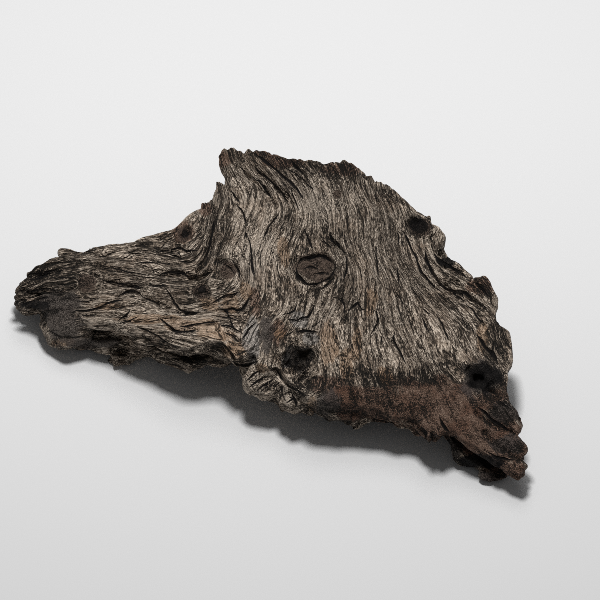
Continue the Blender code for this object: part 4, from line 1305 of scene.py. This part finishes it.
def wood_patterns(board):
    """Every noise, zone and stored value of the wood, by its name."""
    place = board.stored("grain_place", "Vector")
    object_place = board.add("ShaderNodeTexCoord").outputs["Object"]
    fibre = fibre_group()
    zone_edge = zone_group()
    speck = speck_group()

    def streaks(width, length, roughness):
        inputs = {"Place": place, "Width": width, "Length": length, "Roughness": roughness}
        return board.group(fibre, inputs)

    def lines(noise_shape, opening):
        """0 on thin lines along the grain, 1 beside them."""
        gap = board.value("ABSOLUTE", board.value("SUBTRACT", streaks(*noise_shape), 0.5))
        return board.between(gap, 0.0, opening)

    pattern = {name: board.stored(name) for name in (*RELIEF, "underside")}
    for name, (noise_shape, span) in STREAKS.items():
        pattern[name] = board.narrowed(streaks(*noise_shape), span)
    for name, (size, span) in SPECKS.items():
        specks = board.group(speck, {"Place": object_place, "Size": size})
        pattern[name] = board.narrowed(specks, span)
    for name, (raggedness, _) in ZONES.items():
        edge = {"Zone": board.stored(name), "Streak": pattern["strand"], "Raggedness": raggedness}
        pattern[name] = board.group(zone_edge, edge)
    pattern["splits"] = board.value("MULTIPLY", *(lines(*kind) for kind in SPLITS))
    pattern["furrows"] = board.value("MULTIPLY", *(lines(*kind) for kind in FURROWS))
    return pattern


def weathered_wood(colours):
    """Pale ridges and dark grooves, zones of heartwood, stain, rot and bleached wood, and painted light
    and shade.
    """
    material, board, surface = new_material("weathered mopani wood")
    pattern = wood_patterns(board)
    russet = pattern["russet"]

    pattern["grained"] = board.value("MAXIMUM", board.value("MAXIMUM", russet, pattern["plug"]),
                                     pattern["sooty"])
    crumbled = board.value("MULTIPLY", pattern["grained"], CRUMBLED)
    fibrous = board.value("SUBTRACT", 1.0, crumbled)
    beside = board.value("ABSOLUTE", board.stored("beside_crack"))
    crack = board.blended(board.stored("near_crack"), 1.0, board.between(beside, *CRACK_SIDES))
    splits = board.value("MAXIMUM", pattern["splits"], pattern["gape"])
    opened = board.value("MULTIPLY", board.blended(fibrous, 1.0, splits), crack)
    strands = board.value("MULTIPLY", pattern["strand"], FIBRE_MIX[1])
    fibres = board.value("MULTIPLY_ADD", pattern["thread"], FIBRE_MIX[0], strands)
    pattern["ridge"] = board.blended(fibrous, 1.0, pattern["furrows"])
    pattern["texture"] = board.blended(crumbled, fibres, pattern["crumb"])
    relief = board.value("MULTIPLY_ADD", pattern["ridge"], RIDGE_RELIEF, pattern["texture"])
    left_of_relief = board.value("MULTIPLY_ADD", opened, 1.0 - SPLIT_RELIEF, SPLIT_RELIEF)
    relief = board.value("MULTIPLY", relief, left_of_relief)

    tone = TONE
    for name, amount in TONE_SWINGS.items():
        if name in ZONE_SWINGS:
            zone, extra = ZONE_SWINGS[name]
            amount = board.value("MULTIPLY_ADD", pattern[zone], extra, amount)
        tone = board.swing(pattern[name], amount, tone)
    for name, amount in ZONE_TONES.items():
        tone = board.value("MULTIPLY_ADD", pattern[name], amount, tone)
    left_of_tone = board.value("MULTIPLY_ADD", opened, 1.0 - SPLIT_TONE, SPLIT_TONE)
    tone = board.value("MULTIPLY", tone, left_of_tone, clamp=True)

    ladder = board.add("ShaderNodeValToRGB", {"Fac": tone})
    steps = ladder.color_ramp.elements
    steps.remove(steps[1])
    for index, (name, position) in enumerate(TONE_STEPS.items()):
        step = steps.new(position) if index else steps[0]
        step.position = position
        step.color = getattr(colours, name)
    wood = ladder.outputs["Color"]

    warm_red = board.value("MULTIPLY_ADD", pattern["warmth"], REDNESS[1], REDNESS[0])
    pattern["reddened"] = board.value("MULTIPLY", russet, warm_red)
    cast_growth = board.between(tone, *CAST_TONES)
    for name, colour_name, strength in CASTS:
        cast = board.mixed(cast_growth, tuple(colours.groove), tuple(getattr(colours, colour_name)))
        wood = board.mixed(board.value("MULTIPLY", pattern[name], strength), wood, cast)
    # Black rot in the pits, and painted shade in the slot under the fingers and on the wall below the
    # ledge
    rot_and_shade = board.value("MULTIPLY", pattern["charred"], ROT_AND_SHADE_STRENGTH)
    wood = board.mixed(rot_and_shade, wood, tuple(colours.charred))
    wood = board.mixed(crack, tuple(colours.charred), wood)

    bump = board.add("ShaderNodeBump", {"Strength": 1.0, "Distance": WOOD_BUMP, "Height": relief})
    board.feed(surface["Base Color"], wood)
    board.feed(surface["Roughness"], board.between(tone, *WOOD_ROUGHNESS))
    board.feed(surface["Specular IOR Level"], WOOD_SHINE)
    board.feed(surface["Normal"], bump.outputs["Normal"])
    return material


def pale_floor(near, far):
    """A plain pale floor, painted darker towards the front for the light that falls off there."""
    material, board, surface = new_material("pale floor")
    place = board.add("ShaderNodeTexCoord").outputs["Object"]
    depth = board.add("ShaderNodeSeparateXYZ", {"Vector": place}).outputs["Y"]
    painted_falloff = board.between(depth, *FLOOR_LIGHT_FALLOFF)
    board.feed(surface["Base Color"], board.mixed(painted_falloff, tuple(near), tuple(far)))
    board.feed(surface["Roughness"], FLOOR_ROUGHNESS)
    board.feed(surface["Specular IOR Level"], FLOOR_SHINE)
    return material


class MOPANI_OT_root(Operator):
    """Model the root in fine detail in place of its plain solid"""

    bl_idname = "mopani.root"
    bl_label = "Carve Root"

    def execute(self, context):
        form = context.scene.mopani_root_form
        grain = GrainMap(GRAIN_LINES)
        mesh = skin_of(self.blank(), form.blank_voxel)
        smooth(mesh, BLANK_ROUNDS)
        carve(mesh, carve_knots_and_cracks)
        carve(mesh, carve_coarse_grain, grain, form.ridge_depth)
        splinters = [add_splinter(*splinter) for splinter in SPLINTERS]
        mesh = joined([mesh, *splinters], "blank with splinters")
        write_points(mesh, bend_to_ground(read_points(mesh)))
        mesh = skin_of(mesh, form.surface_voxel)
        keep_main_shell(mesh)
        smooth(mesh, SURFACE_ROUNDS)
        carve(mesh, carve_fine_grain, grain, form.ridge_depth)
        write_points(mesh, lift_off_ground(read_points(mesh)))
        mesh = thinned(mesh, form.triangles)
        mark_surface(mesh, grain)
        fit_to_solid(mesh)
        mesh.shade_smooth()
        mesh.name = "root_wood"
        mesh.materials.clear()
        mesh.materials.append(weathered_wood(context.scene.mopani_root_colours))
        piece = add_object("root_wood", mesh)
        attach(piece, "root")
        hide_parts(ROOT_NODE)
        return {"FINISHED"}

    def blank(self):
        """The layers, lumps and feet as shells in one mesh."""
        pieces = [add_layer(name, *layer) for name, layer in LAYERS.items()]
        for name, ((px, py), height, radii) in LUMPS.items():
            pieces.append(add_lump(name, place_at_height(px, py, height), radii))
        for name, ((px, py), radii) in FEET.items():
            pieces.append(add_lump(name, place_at_height(px, py, radii[2] * FOOT_RISE), radii))
        return joined(pieces, "blank")


class MOPANI_OT_stage(Operator):
    """Set the pale floor, the soft light overhead and the camera"""

    bl_idname = "mopani.stage"
    bl_label = "Set Stage"

    def execute(self, context):
        stage = context.scene.mopani_root_stage
        self.lay_floor(stage)
        self.hang_light("overhead light", stage.key_power, *KEY_LIGHT)
        self.hang_light("back light", stage.back_power, *BACK_LIGHT)
        self.light_all_round(context, stage)
        self.place_camera(context, stage)
        context.scene.view_settings.view_transform = "Standard"
        context.scene.cycles.filter_width = FILTER_WIDTH
        context.scene.cycles.use_denoising = False
        return {"FINISHED"}

    def lay_floor(self, stage):
        shape = bmesh.new()
        bmesh.ops.create_grid(shape, x_segments=1, y_segments=1, size=FLOOR_HALF_SIDE)
        floor = add_object("floor", finished(shape, "floor"))
        floor.data.materials.append(pale_floor(stage.near_floor, stage.far_floor))
        floor.location.z = -FLOOR_DROP

    def hang_light(self, name, power, width, place):
        lamp = bpy.data.lights.new(name, "AREA")
        lamp.shape = "DISK"
        lamp.size = width
        lamp.energy = power
        light = add_object(name, lamp)
        light.location = place
        light.rotation_euler = (-Vector(place)).to_track_quat("-Z", "Y").to_euler()

    def light_all_round(self, context, stage):
        world = bpy.data.worlds.new("soft room")
        world.use_nodes = True
        background = world.node_tree.nodes["Background"]
        background.inputs["Color"].default_value = (1.0, 1.0, 1.0, 1.0)
        background.inputs["Strength"].default_value = stage.fill_strength
        context.scene.world = world

    def place_camera(self, context, stage):
        lens = bpy.data.cameras.new("camera")
        lens.type = "ORTHO"
        lens.ortho_scale = PICTURE_SIDE * POINT
        lens.clip_end = CAMERA_DEPTH
        camera = add_object("camera", lens)
        right = (PICTURE_SIDE / 2.0 - PICTURE_ORIGIN[0] + VIEW_SHIFT[0]) * POINT
        up = (PICTURE_ORIGIN[1] + VIEW_SHIFT[1] - PICTURE_SIDE / 2.0) * POINT
        across = Vector((1.0, 0.0, 0.0))
        upward = Vector((0.0, math.sin(stage.view_angle), math.cos(stage.view_angle)))
        backward = across.cross(upward)
        camera.location = across * right + upward * up + backward * CAMERA_DISTANCE
        camera.rotation_euler = (math.pi / 2.0 - stage.view_angle, 0.0, 0.0)
        context.scene.camera = camera


class MOPANI_PT_panel(Panel):
    """Settings and steps for the mopani root"""

    bl_idname = "MOPANI_PT_panel"
    bl_label = "Mopani Root"
    bl_space_type = "VIEW_3D"
    bl_region_type = "UI"
    bl_category = "Mopani Root"

    def draw(self, context):
        for name in SETTINGS:
            group = getattr(context.scene, name)
            box = self.layout.box()
            for key in group.__annotations__:
                box.prop(group, key)
        self.layout.operator(MOPANI_OT_root.bl_idname)
        self.layout.operator(MOPANI_OT_stage.bl_idname)


SETTINGS = {
    "mopani_root_form": MopaniRootForm,
    "mopani_root_colours": MopaniRootColours,
    "mopani_root_stage": MopaniRootStage,
}
CLASSES = (*SETTINGS.values(), MOPANI_OT_root, MOPANI_OT_stage, MOPANI_PT_panel)


def register():
    for item in CLASSES:
        bpy.utils.register_class(item)
    for name, group in SETTINGS.items():
        setattr(bpy.types.Scene, name, PointerProperty(type=group))


def unregister():
    for name in SETTINGS:
        delattr(bpy.types.Scene, name)
    for item in reversed(CLASSES):
        bpy.utils.unregister_class(item)


def main():
    register()
    bpy.ops.mopani.root()
    bpy.ops.mopani.stage()


if __name__ == "__main__":
    main()
